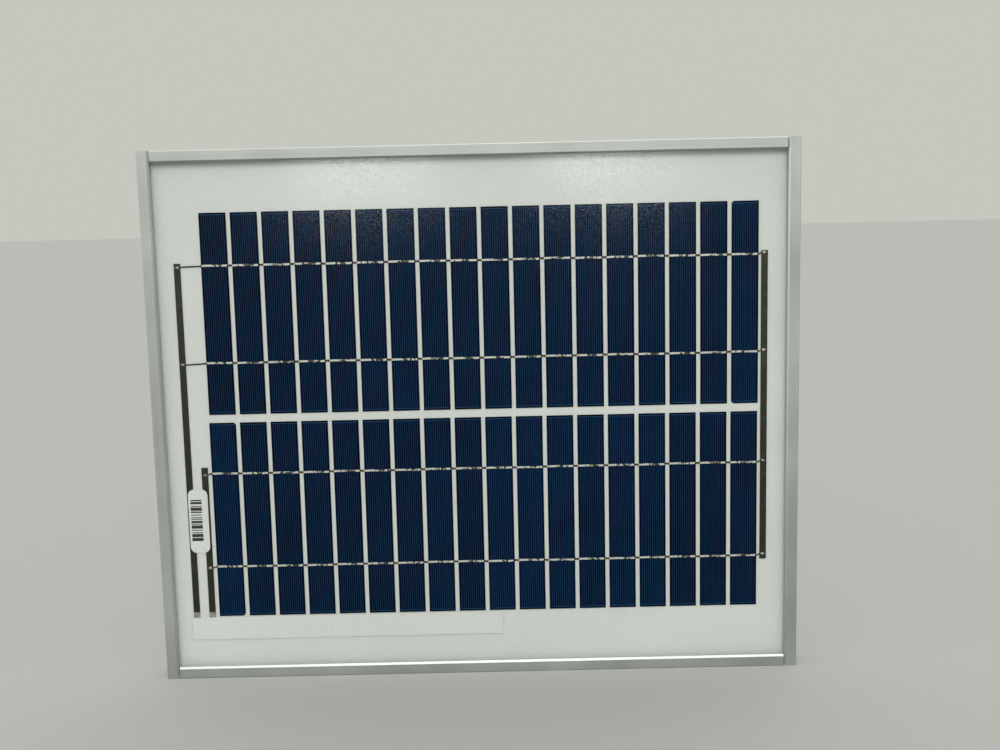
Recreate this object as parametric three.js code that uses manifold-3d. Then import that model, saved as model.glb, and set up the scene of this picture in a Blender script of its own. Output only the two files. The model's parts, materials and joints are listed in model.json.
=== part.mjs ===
// A 20 W framed solar panel of 36 cell strips, standing upright on its bottom rail.
// Millimetres. +X runs to the right across the glass, +Y from the glass towards the back, +Z up.
// The origin is the middle of the face that the panel stands on.

import * as THREE from 'three';
import { mergeVertices } from 'three/addons/utils/BufferGeometryUtils.js';
import Module from 'manifold-3d';

const wasm = await Module();
wasm.setup();

// ---------------------------------------------------------------- driving dimensions

const PANEL = { width: 500, height: 415, depth: 25 };
const FIT_GAP = 0.3;                 // clearance where one piece is cut by its neighbour

// One aluminium extrusion serves all four rails. "In" is measured from the outer edge
// towards the middle of the panel, "back" from the front face towards the rear.
const RAIL = {
  web: 1.6,                          // outer wall
  lipIn: 9.3,                        // how far the front lip covers the glass
  bevelIn: 1.6,                      // sloped inner edge of the lip
  bevelBack: 1.1,
  lipThickness: 1.5,
  channelEnd: 7.3,                   // back of the slot that holds the laminate
  shelf: 1.4,                        // floor of that slot
  innerWall: 1.3,
  flangeIn: 20,                      // rear mounting flange
  flangeThickness: 1.4,
  edgeRadius: 0.6,
  jointGap: 0.6,                     // where an end rail meets a side rail
};
const PORT = { in: 4.8, back: 16.2, radius: 2.9, hole: 1.6, neck: 2.1 };   // screw port
const SCREW = {
  shaft: 1.5, length: 17, head: 3.3, headHeight: 2.4, access: 7.6, clearance: 3.9,
  recess: 1.2, recessRadius: 1.6,
};
const FLANGE_HOLE = { radius: 3.25, fromEnd: 105, in: 14.6 };
const EARTH_HOLE = { radius: 2.1, fromEnd: 207.5 };
const DRAIN_HOLE = { radius: 2.5, fromMiddle: 190 };

// The laminate, layer by layer from the front.
const LAMINATE = { edgeIn: 3.4, front: 2.15, glass: 3.2, frontFilm: 0.6, rearFilm: 0.4, backsheet: 0.3 };
const GASKET = { edgeIn: 2.0, legIn: 8.9, leg: 0.6 };

// Two strings of eighteen cell strips, upper and lower.
const CELL = { width: 20.65, height: 156, thickness: 0.2, pitch: 23.84, perString: 18, corner: 1.6 };
const STRINGS = [
  { name: 'upper', firstEdge: -206.6, middle: 289.65 },
  { name: 'lower', firstEdge: -207.0, middle: 127.2 },
];
const POCKET_GAP = 0.1;              // film left clear round each cell, ribbon and label

// Flat bus ribbons. The two on the left run down and then along the bottom to the
// junction box, where each ends in a tail that is bent through the backsheet.
const BUS = { width: 5.05, thickness: 0.2, tailEnd: 13, tailMargin: 0.25 };
const OUTER_BUS = { left: -227.6, top: 329.5, leadBottom: 31.5, tailX: -12 };
const INNER_BUS = { left: -215.2, top: 169.8, leadBottom: 41.5, tailX: 8 };
const RIGHT_BUS = { left: 221.4, top: 329.9, bottom: 86.6 };
const LABEL = { left: -226.9, width: 15.3, bottom: 101.4, height: 51.2, thickness: 0.1, corner: 5 };
const STRIP = { left: -229, right: 18, bottom: 30, top: 48.2, thickness: 0.15 };   // hides both leads
const SLIT = { along: 1.6, across: 6.4 };

// Junction box on the backsheet, with a lid that swings up on two moulded stubs.
const BOX = {
  halfWidth: 45, bottom: 24, top: 88, wall: 2, rim: 21.3, corner: 4,
  slotHalf: 20, slotBottom: 28, slotTop: 49,
};
const LID = {
  inner: 21.8, thickness: 2, top: 87.2, corner: 4,
  rib: 1.4, ribWidth: 1.4, ribInset: 6, ribTop: 73.2,
};
const THUMB_TAB = { halfWidth: 9, length: 3 };
const HINGE = {
  back: 21.8, height: 90.5, eye: 2.5, hole: 1.3, earX: 27, earWidth: 5,
  stub: 1.2, arm: 2.2, armWidth: 4,
};
const SEAL = { width: 1.2, thickness: 0.4, inset: 0.4 };
const TERMINALS = {
  halfWidth: 26, bottom: 52, top: 64, height: 6,
  bays: 3, bayWidth: 11, bayPitch: 16, bayDepth: 4, backWall: 3,
};
const DIODE = { radius: 2.7, length: 9.5, lead: 0.6, legX: 16, legEnd: 57, tip: 12, height: 73, back: 15.8 };
const GLAND = {
  z: 56, back: 15, bore: 3.25, thread: 5.2, flange: 6.6, flangeWidth: 4, nut: 6,
  neckWidth: 9, neckStep: 0.2, insideX: 39.5, domeX: 62.5, endX: 66,
};

const RAIL_BACK = PANEL.depth - RAIL.flangeThickness;
const COLOURS = {
  aluminium: { color: 0xb4bab3, roughness: 0.42, metalness: 0.9 },
  steel: { color: 0xc9c9c6, roughness: 0.3, metalness: 1 },
  gasket: { color: 0x23262a, roughness: 0.8, metalness: 0 },
  glass: { color: 0xe6efec, roughness: 0.05, metalness: 0 },
  film: { color: 0xeceeea, roughness: 0.4, metalness: 0 },
  backsheet: { color: 0xdfe2dd, roughness: 0.6, metalness: 0 },
  cell: { color: 0x132543, roughness: 0.25, metalness: 0.2 },
  ribbon: { color: 0x55543f, roughness: 0.35, metalness: 0.9 },
  label: { color: 0xe4e7e2, roughness: 0.6, metalness: 0 },
  boxPlastic: { color: 0x1b1c1e, roughness: 0.55, metalness: 0 },
  seal: { color: 0x35383b, roughness: 0.85, metalness: 0 },
  terminalPlastic: { color: 0xd8d2c0, roughness: 0.5, metalness: 0 },
  diode: { color: 0x141416, roughness: 0.35, metalness: 0 },
};

// ---------------------------------------------------------------- helpers

const rearOf = (back) => back - PANEL.depth / 2;    // distance behind the front face, as Y

function toSolid(geometry) {
  const bare = geometry.clone();
  for (const name of Object.keys(bare.attributes)) {
    if (name !== 'position') bare.deleteAttribute(name);
  }
  const merged = mergeVertices(bare, 1e-4);
  return new wasm.Manifold(new wasm.Mesh({
    numProp: 3,
    vertProperties: new Float32Array(merged.attributes.position.array),
    triVerts: new Uint32Array(merged.index.array),
  }));
}

function toGeometry(solid) {
  const mesh = solid.getMesh();
  const positions = new Float32Array(mesh.numVert * 3);
  for (let i = 0; i < mesh.numVert; i += 1) {
    for (let k = 0; k < 3; k += 1) positions[3 * i + k] = mesh.vertProperties[mesh.numProp * i + k];
  }
  const geometry = new THREE.BufferGeometry();
  geometry.setAttribute('position', new THREE.BufferAttribute(positions, 3));
  geometry.setIndex(new THREE.BufferAttribute(new Uint32Array(mesh.triVerts), 1));
  geometry.computeVertexNormals();
  return geometry;
}

// A box from its limits in X, in distance behind the front face, and in Z.
function block([x0, x1], [back0, back1], [z0, z1]) {
  const geometry = new THREE.BoxGeometry(x1 - x0, back1 - back0, z1 - z0);
  geometry.translate((x0 + x1) / 2, rearOf((back0 + back1) / 2), (z0 + z1) / 2);
  return geometry;
}

// An outline in X and Z, given a thickness from back0 to back1.
function plate(shape, [back0, back1]) {
  const options = { depth: back1 - back0, bevelEnabled: false, curveSegments: 6 };
  const geometry = new THREE.ExtrudeGeometry(shape, options);
  geometry.rotateX(Math.PI / 2);
  geometry.translate(0, rearOf(back1), 0);
  return geometry;
}

function roundedRectangle([x0, x1], [z0, z1], radius) {
  const shape = new THREE.Shape();
  shape.moveTo(x0 + radius, z0);
  shape.lineTo(x1 - radius, z0);
  shape.absarc(x1 - radius, z0 + radius, radius, -Math.PI / 2, 0, false);
  shape.lineTo(x1, z1 - radius);
  shape.absarc(x1 - radius, z1 - radius, radius, 0, Math.PI / 2, false);
  shape.lineTo(x0 + radius, z1);
  shape.absarc(x0 + radius, z1 - radius, radius, Math.PI / 2, Math.PI, false);
  shape.lineTo(x0, z0 + radius);
  shape.absarc(x0 + radius, z0 + radius, radius, Math.PI, 1.5 * Math.PI, false);
  return shape;
}

function polygon(points) {
  const corners = points.map(([x, y]) => new THREE.Vector2(x, y));
  if (THREE.ShapeUtils.isClockWise(corners)) corners.reverse();
  return new THREE.Shape(corners);
}

// A cylinder along Y through (x, z), between two distances behind the front face.
function drill(radius, x, z, [back0, back1], segments = 20) {
  const geometry = new THREE.CylinderGeometry(radius, radius, back1 - back0, segments);
  geometry.translate(x, rearOf((back0 + back1) / 2), z);
  return geometry;
}

// A cylinder along X through (back, z).
function crossDrill(radius, [x0, x1], back, z, segments = 20) {
  const geometry = new THREE.CylinderGeometry(radius, radius, x1 - x0, segments);
  geometry.rotateZ(Math.PI / 2);
  geometry.translate((x0 + x1) / 2, rearOf(back), z);
  return geometry;
}

// A profile of [radius, x] points turned about a line along X through (back, z).
function turned(profile, back, z, segments) {
  const points = profile.map(([radius, x]) => new THREE.Vector2(radius, x));
  const geometry = new THREE.LatheGeometry(points, segments);
  geometry.rotateZ(-Math.PI / 2);
  geometry.translate(0, rearOf(back), z);
  return geometry;
}

function cut(geometry, tools) {
  return toGeometry(tools.reduce((solid, tool) => solid.subtract(toSolid(tool)), toSolid(geometry)));
}

function join(geometries) {
  const [first, ...others] = geometries.map(toSolid);
  return toGeometry(others.reduce((solid, other) => solid.add(other), first));
}

// ---------------------------------------------------------------- frame rails

// The rail's section as [in, back] points: outer wall, front lip with its sloped inner
// edge, slot for the laminate, shelf, box section and rear flange.
function railOutline() {
  const r = RAIL.edgeRadius;
  const corner = [];
  for (let step = 0; step <= 4; step += 1) {
    const angle = (step / 4) * (Math.PI / 2);
    corner.push([r - r * Math.cos(angle), r - r * Math.sin(angle)]);
  }
  return [
    ...corner,
    [RAIL.lipIn - RAIL.bevelIn, 0],
    [RAIL.lipIn, RAIL.bevelBack],
    [RAIL.lipIn, RAIL.lipThickness],
    [RAIL.web, RAIL.lipThickness],
    [RAIL.web, RAIL.channelEnd],
    [RAIL.lipIn, RAIL.channelEnd],
    [RAIL.lipIn, RAIL_BACK],
    [RAIL.flangeIn, RAIL_BACK],
    [RAIL.flangeIn, PANEL.depth],
    [r / 2, PANEL.depth],
    [0, PANEL.depth - r / 2],
  ];
}

// The hollow of the box section. On an end rail a round screw port grows into it.
function railHollow(withPort) {
  const near = RAIL.web;
  const far = RAIL.lipIn - RAIL.innerWall;
  const front = RAIL.channelEnd + RAIL.shelf;
  const points = [[near, front], [far, front], [far, RAIL_BACK], [near, RAIL_BACK]];
  if (withPort) {
    const start = Math.PI - Math.asin(PORT.neck / PORT.radius);
    points.push([near, PORT.back + PORT.neck]);
    for (let step = 0; step <= 14; step += 1) {
      const angle = start - (2 * start * step) / 14;
      points.push([PORT.in + PORT.radius * Math.cos(angle), PORT.back + PORT.radius * Math.sin(angle)]);
    }
    points.push([near, PORT.back - PORT.neck]);
  }
  return points;
}

function railSection(place, withPort) {
  const shape = polygon(railOutline().map(place));
  shape.holes.push(new THREE.Path(polygon(railHollow(withPort).map(place)).getPoints()));
  if (withPort) {
    const bore = [];
    for (let step = 0; step < 16; step += 1) {
      const angle = (step / 16) * 2 * Math.PI;
      bore.push([PORT.in + PORT.hole * Math.cos(angle), PORT.back + PORT.hole * Math.sin(angle)]);
    }
    shape.holes.push(new THREE.Path(polygon(bore.map(place)).getPoints()));
  }
  return shape;
}

// side is -1 for the left rail and +1 for the right one.
function sideRail(side) {
  const place = ([inward, back]) => [side * (PANEL.width / 2 - inward), rearOf(back)];
  const options = { depth: PANEL.height, bevelEnabled: false };
  const rail = new THREE.ExtrudeGeometry(railSection(place, false), options);
  const across = (in0, in1) => {
    const ends = [in0, in1].map((inward) => side * (PANEL.width / 2 - inward));
    return ends.sort((a, b) => a - b);
  };
  const holeX = side * (PANEL.width / 2 - FLANGE_HOLE.in);
  const tools = [];
  for (const z of [PORT.in, PANEL.height - PORT.in]) {
    tools.push(crossDrill(SCREW.access / 2, across(-1, RAIL.web + 1), PORT.back, z, 24));
    tools.push(crossDrill(SCREW.clearance / 2, across(RAIL.web + 2, RAIL.lipIn + 1), PORT.back, z));
  }
  const notch = RAIL.flangeIn + RAIL.jointGap;
  for (const limits of [[-1, notch], [PANEL.height - notch, PANEL.height + 1]]) {
    tools.push(block(across(RAIL.lipIn, RAIL.flangeIn + 1), [RAIL_BACK - 1, PANEL.depth + 1], limits));
  }
  for (const z of [FLANGE_HOLE.fromEnd, PANEL.height - FLANGE_HOLE.fromEnd]) {
    tools.push(drill(FLANGE_HOLE.radius, holeX, z, [RAIL_BACK - 1, PANEL.depth + 1]));
  }
  tools.push(drill(EARTH_HOLE.radius, holeX, EARTH_HOLE.fromEnd, [RAIL_BACK - 1, PANEL.depth + 1], 16));
  return cut(rail, tools);
}

// The bottom and top rails stand between the side rails, square-cut at both ends.
function endRail(isTop) {
  const place = ([inward, back]) => [isTop ? PANEL.height - inward : inward, rearOf(back)];
  const length = PANEL.width - 2 * (RAIL.lipIn + RAIL.jointGap);
  const rail = new THREE.ExtrudeGeometry(railSection(place, true), { depth: length, bevelEnabled: false });
  rail.rotateY(-Math.PI / 2);
  rail.translate(length / 2, 0, 0);
  const holeZ = isTop ? PANEL.height - FLANGE_HOLE.in : FLANGE_HOLE.in;
  const tools = [-1, 1].map((side) => (
    drill(DRAIN_HOLE.radius, side * DRAIN_HOLE.fromMiddle, holeZ, [RAIL_BACK - 1, PANEL.depth + 1], 16)
  ));
  return cut(rail, tools);
}

// A pan-head screw along X, its head inside the side rail and its shaft in the port.
function cornerScrew(side, isTop) {
  const seat = PANEL.width / 2 - (RAIL.lipIn - RAIL.innerWall) + FIT_GAP / 3;
  const top = seat + SCREW.headHeight;
  const profile = [
    [0, seat - SCREW.length],
    [SCREW.shaft * 0.4, seat - SCREW.length],
    [SCREW.shaft, seat - SCREW.length + 3],
    [SCREW.shaft, seat],
    [SCREW.head, seat],
    [SCREW.head, seat + SCREW.headHeight * 0.45],
    [SCREW.head * 0.62, top],
    [SCREW.recessRadius, top],
    [SCREW.recessRadius * 0.5, top - SCREW.recess],
    [0, top - SCREW.recess],
  ];
  const z = isTop ? PANEL.height - PORT.in : PORT.in;
  const screw = turned(profile, PORT.back, z, 16);
  if (side < 0) {
    screw.rotateZ(Math.PI);
    screw.translate(0, 2 * rearOf(PORT.back), 0);
  }
  return screw;
}

// ---------------------------------------------------------------- laminate

const layer = (() => {
  const glassBack = LAMINATE.front + LAMINATE.glass;
  const filmBack = glassBack + LAMINATE.frontFilm;
  const rearFilmBack = filmBack + LAMINATE.rearFilm;
  return {
    glass: [LAMINATE.front, glassBack],
    frontFilm: [glassBack, filmBack],
    cells: [filmBack - CELL.thickness, filmBack],
    rearFilm: [filmBack, rearFilmBack],
    backsheet: [rearFilmBack, rearFilmBack + LAMINATE.backsheet],
  };
})();

function sheet(limits, edgeIn = LAMINATE.edgeIn) {
  const half = PANEL.width / 2 - edgeIn;
  return block([-half, half], limits, [edgeIn, PANEL.height - edgeIn]);
}

function edgeGasket() {
  const outer = [LAMINATE.front - GASKET.leg, layer.backsheet[1] + GASKET.leg];
  return cut(sheet(outer, GASKET.edgeIn), [
    sheet([outer[0] - 1, outer[1] + 1], GASKET.legIn),
    sheet([LAMINATE.front, layer.backsheet[1]], LAMINATE.edgeIn - POCKET_GAP),
  ]);
}

// Strips cut from the edge of a wafer keep its small chamfered corners on one long side.
function cellOutline(left, middle, chamferSide, grow = 0) {
  const [x0, x1] = [left - grow, left + CELL.width + grow];
  const [z0, z1] = [middle - CELL.height / 2 - grow, middle + CELL.height / 2 + grow];
  const c = CELL.corner;
  if (chamferSide === 'right') {
    return polygon([[x0, z0], [x1 - c, z0], [x1, z0 + c], [x1, z1 - c], [x1 - c, z1], [x0, z1]]);
  }
  if (chamferSide === 'left') {
    return polygon([[x0 + c, z0], [x1, z0], [x1, z1], [x0 + c, z1], [x0, z1 - c], [x0, z0 + c]]);
  }
  return polygon([[x0, z0], [x1, z0], [x1, z1], [x0, z1]]);
}

function chamferSideOf(string, index) {
  if (string.name === 'upper' && index === CELL.perString - 1) return 'left';
  if (string.name === 'lower' && index === 0) return 'right';
  return 'none';
}

function everyCell(make) {
  return STRINGS.flatMap((string) => Array.from({ length: CELL.perString }, (_, index) => (
    make(string, index, string.firstEdge + index * CELL.pitch)
  )));
}

// A left-hand bus ribbon: down the side, along the bottom as a lead, and a bent-back tail.
function busWithLead(bus, grow = 0, limits = layer.cells) {
  const [x0, x1] = [bus.left - grow, bus.left + BUS.width + grow];
  const [z0, z1] = [bus.leadBottom - grow, bus.leadBottom + BUS.width + grow];
  const end = bus.tailX + BUS.thickness + BUS.tailMargin + grow;
  const outline = [[x0, z0], [end, z0], [end, z1], [x1, z1], [x1, bus.top + grow], [x0, bus.top + grow]];
  return plate(polygon(outline), limits);
}

function busTail(bus) {
  const along = [bus.tailX, bus.tailX + BUS.thickness];
  const low = bus.leadBottom + BUS.tailMargin;
  const up = [low, low + BUS.width - 2 * BUS.tailMargin];
  return block(along, [layer.cells[0] + BUS.thickness / 2, BUS.tailEnd], up);
}

function rightBus(grow = 0, limits = layer.cells) {
  const across = [RIGHT_BUS.left - grow, RIGHT_BUS.left + BUS.width + grow];
  return block(across, limits, [RIGHT_BUS.bottom - grow, RIGHT_BUS.top + grow]);
}

const labelLimits = [layer.cells[0] - LABEL.thickness, layer.cells[0]];
const stripLimits = [layer.cells[0] - STRIP.thickness, layer.cells[0]];

function serialLabel(grow = 0, limits = labelLimits) {
  const across = [LABEL.left - grow, LABEL.left + LABEL.width + grow];
  const up = [LABEL.bottom - grow, LABEL.bottom + LABEL.height + grow];
  return plate(roundedRectangle(across, up, LABEL.corner), limits);
}

function insulationStrip(grow = 0, limits = stripLimits) {
  return block([STRIP.left - grow, STRIP.right + grow], limits, [STRIP.bottom - grow, STRIP.top + grow]);
}

// The front film holds the cells, ribbons, label and strip in pockets that open to the rear.
function frontFilm() {
  const openFrom = ([front]) => [front, layer.frontFilm[1] + 1];
  const pocket = openFrom(layer.cells);
  const tools = everyCell((string, index, left) => (
    plate(cellOutline(left, string.middle, chamferSideOf(string, index), POCKET_GAP), pocket)
  ));
  tools.push(busWithLead(OUTER_BUS, POCKET_GAP, pocket), busWithLead(INNER_BUS, POCKET_GAP, pocket));
  tools.push(rightBus(POCKET_GAP, pocket), serialLabel(POCKET_GAP, openFrom(labelLimits)));
  tools.push(insulationStrip(POCKET_GAP, openFrom(stripLimits)));
  return cut(sheet(layer.frontFilm), tools);
}

function slits(limits) {
  return [OUTER_BUS, INNER_BUS].map((bus) => {
    const x = bus.tailX + BUS.thickness / 2;
    const z = bus.leadBottom + BUS.width / 2;
    const along = [x - SLIT.along / 2, x + SLIT.along / 2];
    return block(along, limits, [z - SLIT.across / 2, z + SLIT.across / 2]);
  });
}

function slitSheet(limits) {
  return cut(sheet(limits), slits([limits[0] - 1, limits[1] + 1]));
}

// ---------------------------------------------------------------- junction box

const boxFloor = layer.backsheet[1];
const boxAcross = [-BOX.halfWidth, BOX.halfWidth];
const inset = ([low, high], by) => [low + by, high - by];

function junctionBoxBase() {
  const up = [BOX.bottom, BOX.top];
  const shell = plate(roundedRectangle(boxAcross, up, BOX.corner), [boxFloor, BOX.rim]);
  const inside = roundedRectangle(inset(boxAcross, BOX.wall), inset(up, BOX.wall), BOX.corner - BOX.wall);
  const ears = [-1, 1].flatMap((side) => {
    const x = [side * HINGE.earX - HINGE.earWidth / 2, side * HINGE.earX + HINGE.earWidth / 2];
    const neck = block(x, [HINGE.back - HINGE.eye, HINGE.back - FIT_GAP], [BOX.top - 1, HINGE.height]);
    return [crossDrill(HINGE.eye, x, HINGE.back, HINGE.height), neck];
  });
  const throughFloor = [boxFloor - 1, boxFloor + BOX.wall + 1];
  const slot = block([-BOX.slotHalf, BOX.slotHalf], throughFloor, [BOX.slotBottom, BOX.slotTop]);
  const holeFloor = boxFloor + BOX.wall;
  return cut(join([shell, ...ears]), [
    plate(inside, [holeFloor, BOX.rim + 1]),
    slot,
    crossDrill(GLAND.thread + FIT_GAP, [BOX.halfWidth - 5, BOX.halfWidth + 2], GLAND.back, GLAND.z),
    ...[-1, 1].map((side) => {
      const x = [side * HINGE.earX - HINGE.earWidth, side * HINGE.earX + HINGE.earWidth];
      return crossDrill(HINGE.hole, x, HINGE.back, HINGE.height, 16);
    }),
  ]);
}

function junctionBoxLid() {
  const skin = [LID.inner, LID.inner + LID.thickness];
  const plateShape = roundedRectangle(boxAcross, [BOX.bottom, LID.top], LID.corner);
  const pieces = [plate(plateShape, skin)];
  const edge = BOX.halfWidth - BOX.wall - LID.ribInset;
  const ribs = [LID.inner - LID.rib, LID.inner + 0.5];
  const low = BOX.bottom + BOX.wall + LID.ribInset;
  pieces.push(block([-edge, edge], ribs, [low, low + LID.ribWidth]));
  for (const side of [-1, 1]) {
    const x = [side * edge - LID.ribWidth / 2, side * edge + LID.ribWidth / 2];
    pieces.push(block(x, ribs, [low, LID.ribTop]));
    const inner = HINGE.earX - HINGE.earWidth / 2 - FIT_GAP;
    const arm = [side * inner, side * (inner - HINGE.armWidth)].sort((a, b) => a - b);
    pieces.push(crossDrill(HINGE.arm, arm, HINGE.back, HINGE.height));
    pieces.push(block(arm, [LID.inner, LID.inner + LID.thickness], [LID.top - 2, HINGE.height]));
    const stub = [side * (inner - 1), side * (inner + HINGE.earWidth - 0.5)].sort((a, b) => a - b);
    pieces.push(crossDrill(HINGE.stub, stub, HINGE.back, HINGE.height, 16));
  }
  pieces.push(block(
    [-THUMB_TAB.halfWidth, THUMB_TAB.halfWidth], skin, [BOX.bottom - THUMB_TAB.length, BOX.bottom + 2],
  ));
  return join(pieces);
}

function lidSeal() {
  const limits = [BOX.rim, BOX.rim + SEAL.thickness];
  const up = [BOX.bottom, BOX.top - 1];
  const ring = (by) => roundedRectangle(inset(boxAcross, by), inset(up, by), BOX.corner - by);
  const outer = plate(ring(SEAL.inset), limits);
  return cut(outer, [plate(ring(SEAL.inset + SEAL.width), [limits[0] - 1, limits[1] + 1])]);
}

// A moulded block with open-topped bays for the metal clamps.
function terminalBlock() {
  const floor = boxFloor + BOX.wall;
  const body = block([-TERMINALS.halfWidth, TERMINALS.halfWidth], [floor, floor + TERMINALS.height],
    [TERMINALS.bottom, TERMINALS.top]);
  const bays = Array.from({ length: TERMINALS.bays }, (_, index) => {
    const x = (index - (TERMINALS.bays - 1) / 2) * TERMINALS.bayPitch;
    const deep = [floor + TERMINALS.height - TERMINALS.bayDepth, floor + TERMINALS.height + 1];
    return block([x - TERMINALS.bayWidth / 2, x + TERMINALS.bayWidth / 2], deep,
      [TERMINALS.bottom - 1, TERMINALS.top - TERMINALS.backWall]);
  });
  return cut(body, bays);
}

function bypassDiode() {
  const half = DIODE.length / 2;
  const reach = DIODE.legX + DIODE.lead;
  const thick = [DIODE.back - DIODE.lead, DIODE.back + DIODE.lead];
  const legs = [-DIODE.legX, DIODE.legX].flatMap((x) => {
    const across = [x - DIODE.lead, x + DIODE.lead];
    return [
      block(across, thick, [DIODE.legEnd, DIODE.height + DIODE.lead]),
      block(across, [DIODE.tip, thick[1]], [DIODE.legEnd, DIODE.legEnd + 2 * DIODE.lead]),
    ];
  });
  return join([
    crossDrill(DIODE.radius, [-half, half], DIODE.back, DIODE.height, 16),
    block([-reach, reach], thick, [DIODE.height - DIODE.lead, DIODE.height + DIODE.lead]),
    ...legs,
  ]);
}

// The gland's hex flange stands outside the box wall, with a nut inside and a domed cap.
function cableGland() {
  const wallInner = BOX.halfWidth - BOX.wall;
  const seat = BOX.halfWidth + FIT_GAP;
  const body = turned([
    [GLAND.bore, GLAND.insideX],
    [GLAND.nut, GLAND.insideX],
    [GLAND.nut, wallInner - FIT_GAP],
    [GLAND.thread, wallInner - FIT_GAP],
    [GLAND.thread, seat],
    [GLAND.thread + GLAND.neckStep, seat],
    [GLAND.thread + GLAND.neckStep, seat + GLAND.neckWidth],
    [GLAND.nut, seat + GLAND.neckWidth],
    [GLAND.nut, GLAND.domeX],
    [GLAND.nut - 0.7, GLAND.endX - 1.4],
    [GLAND.nut - 1.9, GLAND.endX],
    [GLAND.bore, GLAND.endX],
    [GLAND.bore, GLAND.insideX],
  ], GLAND.back, GLAND.z, 24);
  const hex = crossDrill(GLAND.flange, [seat, seat + GLAND.flangeWidth], GLAND.back, GLAND.z, 6);
  const hole = crossDrill(GLAND.bore, [GLAND.insideX - 1, GLAND.endX + 1], GLAND.back, GLAND.z, 24);
  return cut(join([body, hex]), [hole]);
}

// ---------------------------------------------------------------- assembly

const panel = new THREE.Group();

function add(parent, name, geometry, look) {
  const mesh = new THREE.Mesh(geometry, new THREE.MeshStandardMaterial(COLOURS[look]));
  mesh.name = name;
  parent.add(mesh);
}

const frame = new THREE.Group();
add(frame, 'left_rail', sideRail(-1), 'aluminium');
add(frame, 'right_rail', sideRail(1), 'aluminium');
add(frame, 'bottom_rail', endRail(false), 'aluminium');
add(frame, 'top_rail', endRail(true), 'aluminium');
for (const [name, side] of [['left', -1], ['right', 1]]) {
  add(frame, `screw_bottom_${name}`, cornerScrew(side, false), 'steel');
  add(frame, `screw_top_${name}`, cornerScrew(side, true), 'steel');
}
panel.add(frame);

const laminate = new THREE.Group();
add(laminate, 'edge_gasket', edgeGasket(), 'gasket');
add(laminate, 'glass', sheet(layer.glass), 'glass');
add(laminate, 'front_encapsulant', frontFilm(), 'film');
add(laminate, 'rear_encapsulant', slitSheet(layer.rearFilm), 'film');
add(laminate, 'backsheet', slitSheet(layer.backsheet), 'backsheet');
everyCell((string, index, left) => {
  const outline = cellOutline(left, string.middle, chamferSideOf(string, index));
  const name = `cell_${string.name}_${String(index + 1).padStart(2, '0')}`;
  add(laminate, name, plate(outline, layer.cells), 'cell');
});
add(laminate, 'bus_left_outer', join([busWithLead(OUTER_BUS), busTail(OUTER_BUS)]), 'ribbon');
add(laminate, 'bus_left_inner', join([busWithLead(INNER_BUS), busTail(INNER_BUS)]), 'ribbon');
add(laminate, 'bus_right', rightBus(), 'ribbon');
add(laminate, 'serial_label', serialLabel(), 'label');
add(laminate, 'insulation_strip', insulationStrip(), 'backsheet');
panel.add(laminate);

const junctionBox = new THREE.Group();
add(junctionBox, 'junction_box_base', junctionBoxBase(), 'boxPlastic');
add(junctionBox, 'junction_box_lid', junctionBoxLid(), 'boxPlastic');
add(junctionBox, 'lid_seal', lidSeal(), 'seal');
add(junctionBox, 'terminal_block', terminalBlock(), 'terminalPlastic');
add(junctionBox, 'bypass_diode', bypassDiode(), 'diode');
add(junctionBox, 'cable_gland', cableGland(), 'boxPlastic');
panel.add(junctionBox);

export default panel;
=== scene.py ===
import json
import math
import random

import bpy
from mathutils import Matrix, Vector

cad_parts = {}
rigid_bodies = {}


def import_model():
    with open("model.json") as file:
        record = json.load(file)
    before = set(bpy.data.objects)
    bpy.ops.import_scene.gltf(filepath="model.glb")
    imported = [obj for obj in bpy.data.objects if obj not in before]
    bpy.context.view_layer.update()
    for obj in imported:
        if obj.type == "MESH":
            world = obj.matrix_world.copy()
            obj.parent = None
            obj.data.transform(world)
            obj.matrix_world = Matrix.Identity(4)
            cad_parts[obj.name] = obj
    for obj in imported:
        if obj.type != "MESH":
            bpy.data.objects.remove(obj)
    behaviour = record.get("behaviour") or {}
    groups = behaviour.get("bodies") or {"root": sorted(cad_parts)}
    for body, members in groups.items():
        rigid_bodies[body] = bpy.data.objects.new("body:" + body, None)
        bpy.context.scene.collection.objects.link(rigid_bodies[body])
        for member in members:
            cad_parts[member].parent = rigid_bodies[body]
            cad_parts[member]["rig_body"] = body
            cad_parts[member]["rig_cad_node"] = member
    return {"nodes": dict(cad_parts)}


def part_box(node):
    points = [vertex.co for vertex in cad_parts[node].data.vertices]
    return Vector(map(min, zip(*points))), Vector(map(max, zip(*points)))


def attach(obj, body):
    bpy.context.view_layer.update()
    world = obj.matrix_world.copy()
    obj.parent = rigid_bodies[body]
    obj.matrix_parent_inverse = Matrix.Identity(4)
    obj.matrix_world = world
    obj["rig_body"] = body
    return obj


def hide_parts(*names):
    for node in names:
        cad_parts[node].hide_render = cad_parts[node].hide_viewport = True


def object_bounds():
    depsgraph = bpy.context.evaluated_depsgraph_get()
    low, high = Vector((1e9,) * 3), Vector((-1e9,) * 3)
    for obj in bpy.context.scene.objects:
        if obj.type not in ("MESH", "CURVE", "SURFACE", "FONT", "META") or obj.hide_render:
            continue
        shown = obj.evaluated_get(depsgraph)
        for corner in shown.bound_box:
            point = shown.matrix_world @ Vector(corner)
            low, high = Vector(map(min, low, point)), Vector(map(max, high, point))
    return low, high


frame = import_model()
cad_low, cad_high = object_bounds()

# A framed solar panel, standing on its bottom rail. Metres. X to the right across the glass,
# Y from the glass towards the back, Z up.

MM = 0.001
scene = bpy.context.scene
nodes_of_cad = frame["nodes"]

# ------------------------------------------------------------------ places taken from the frame

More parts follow.
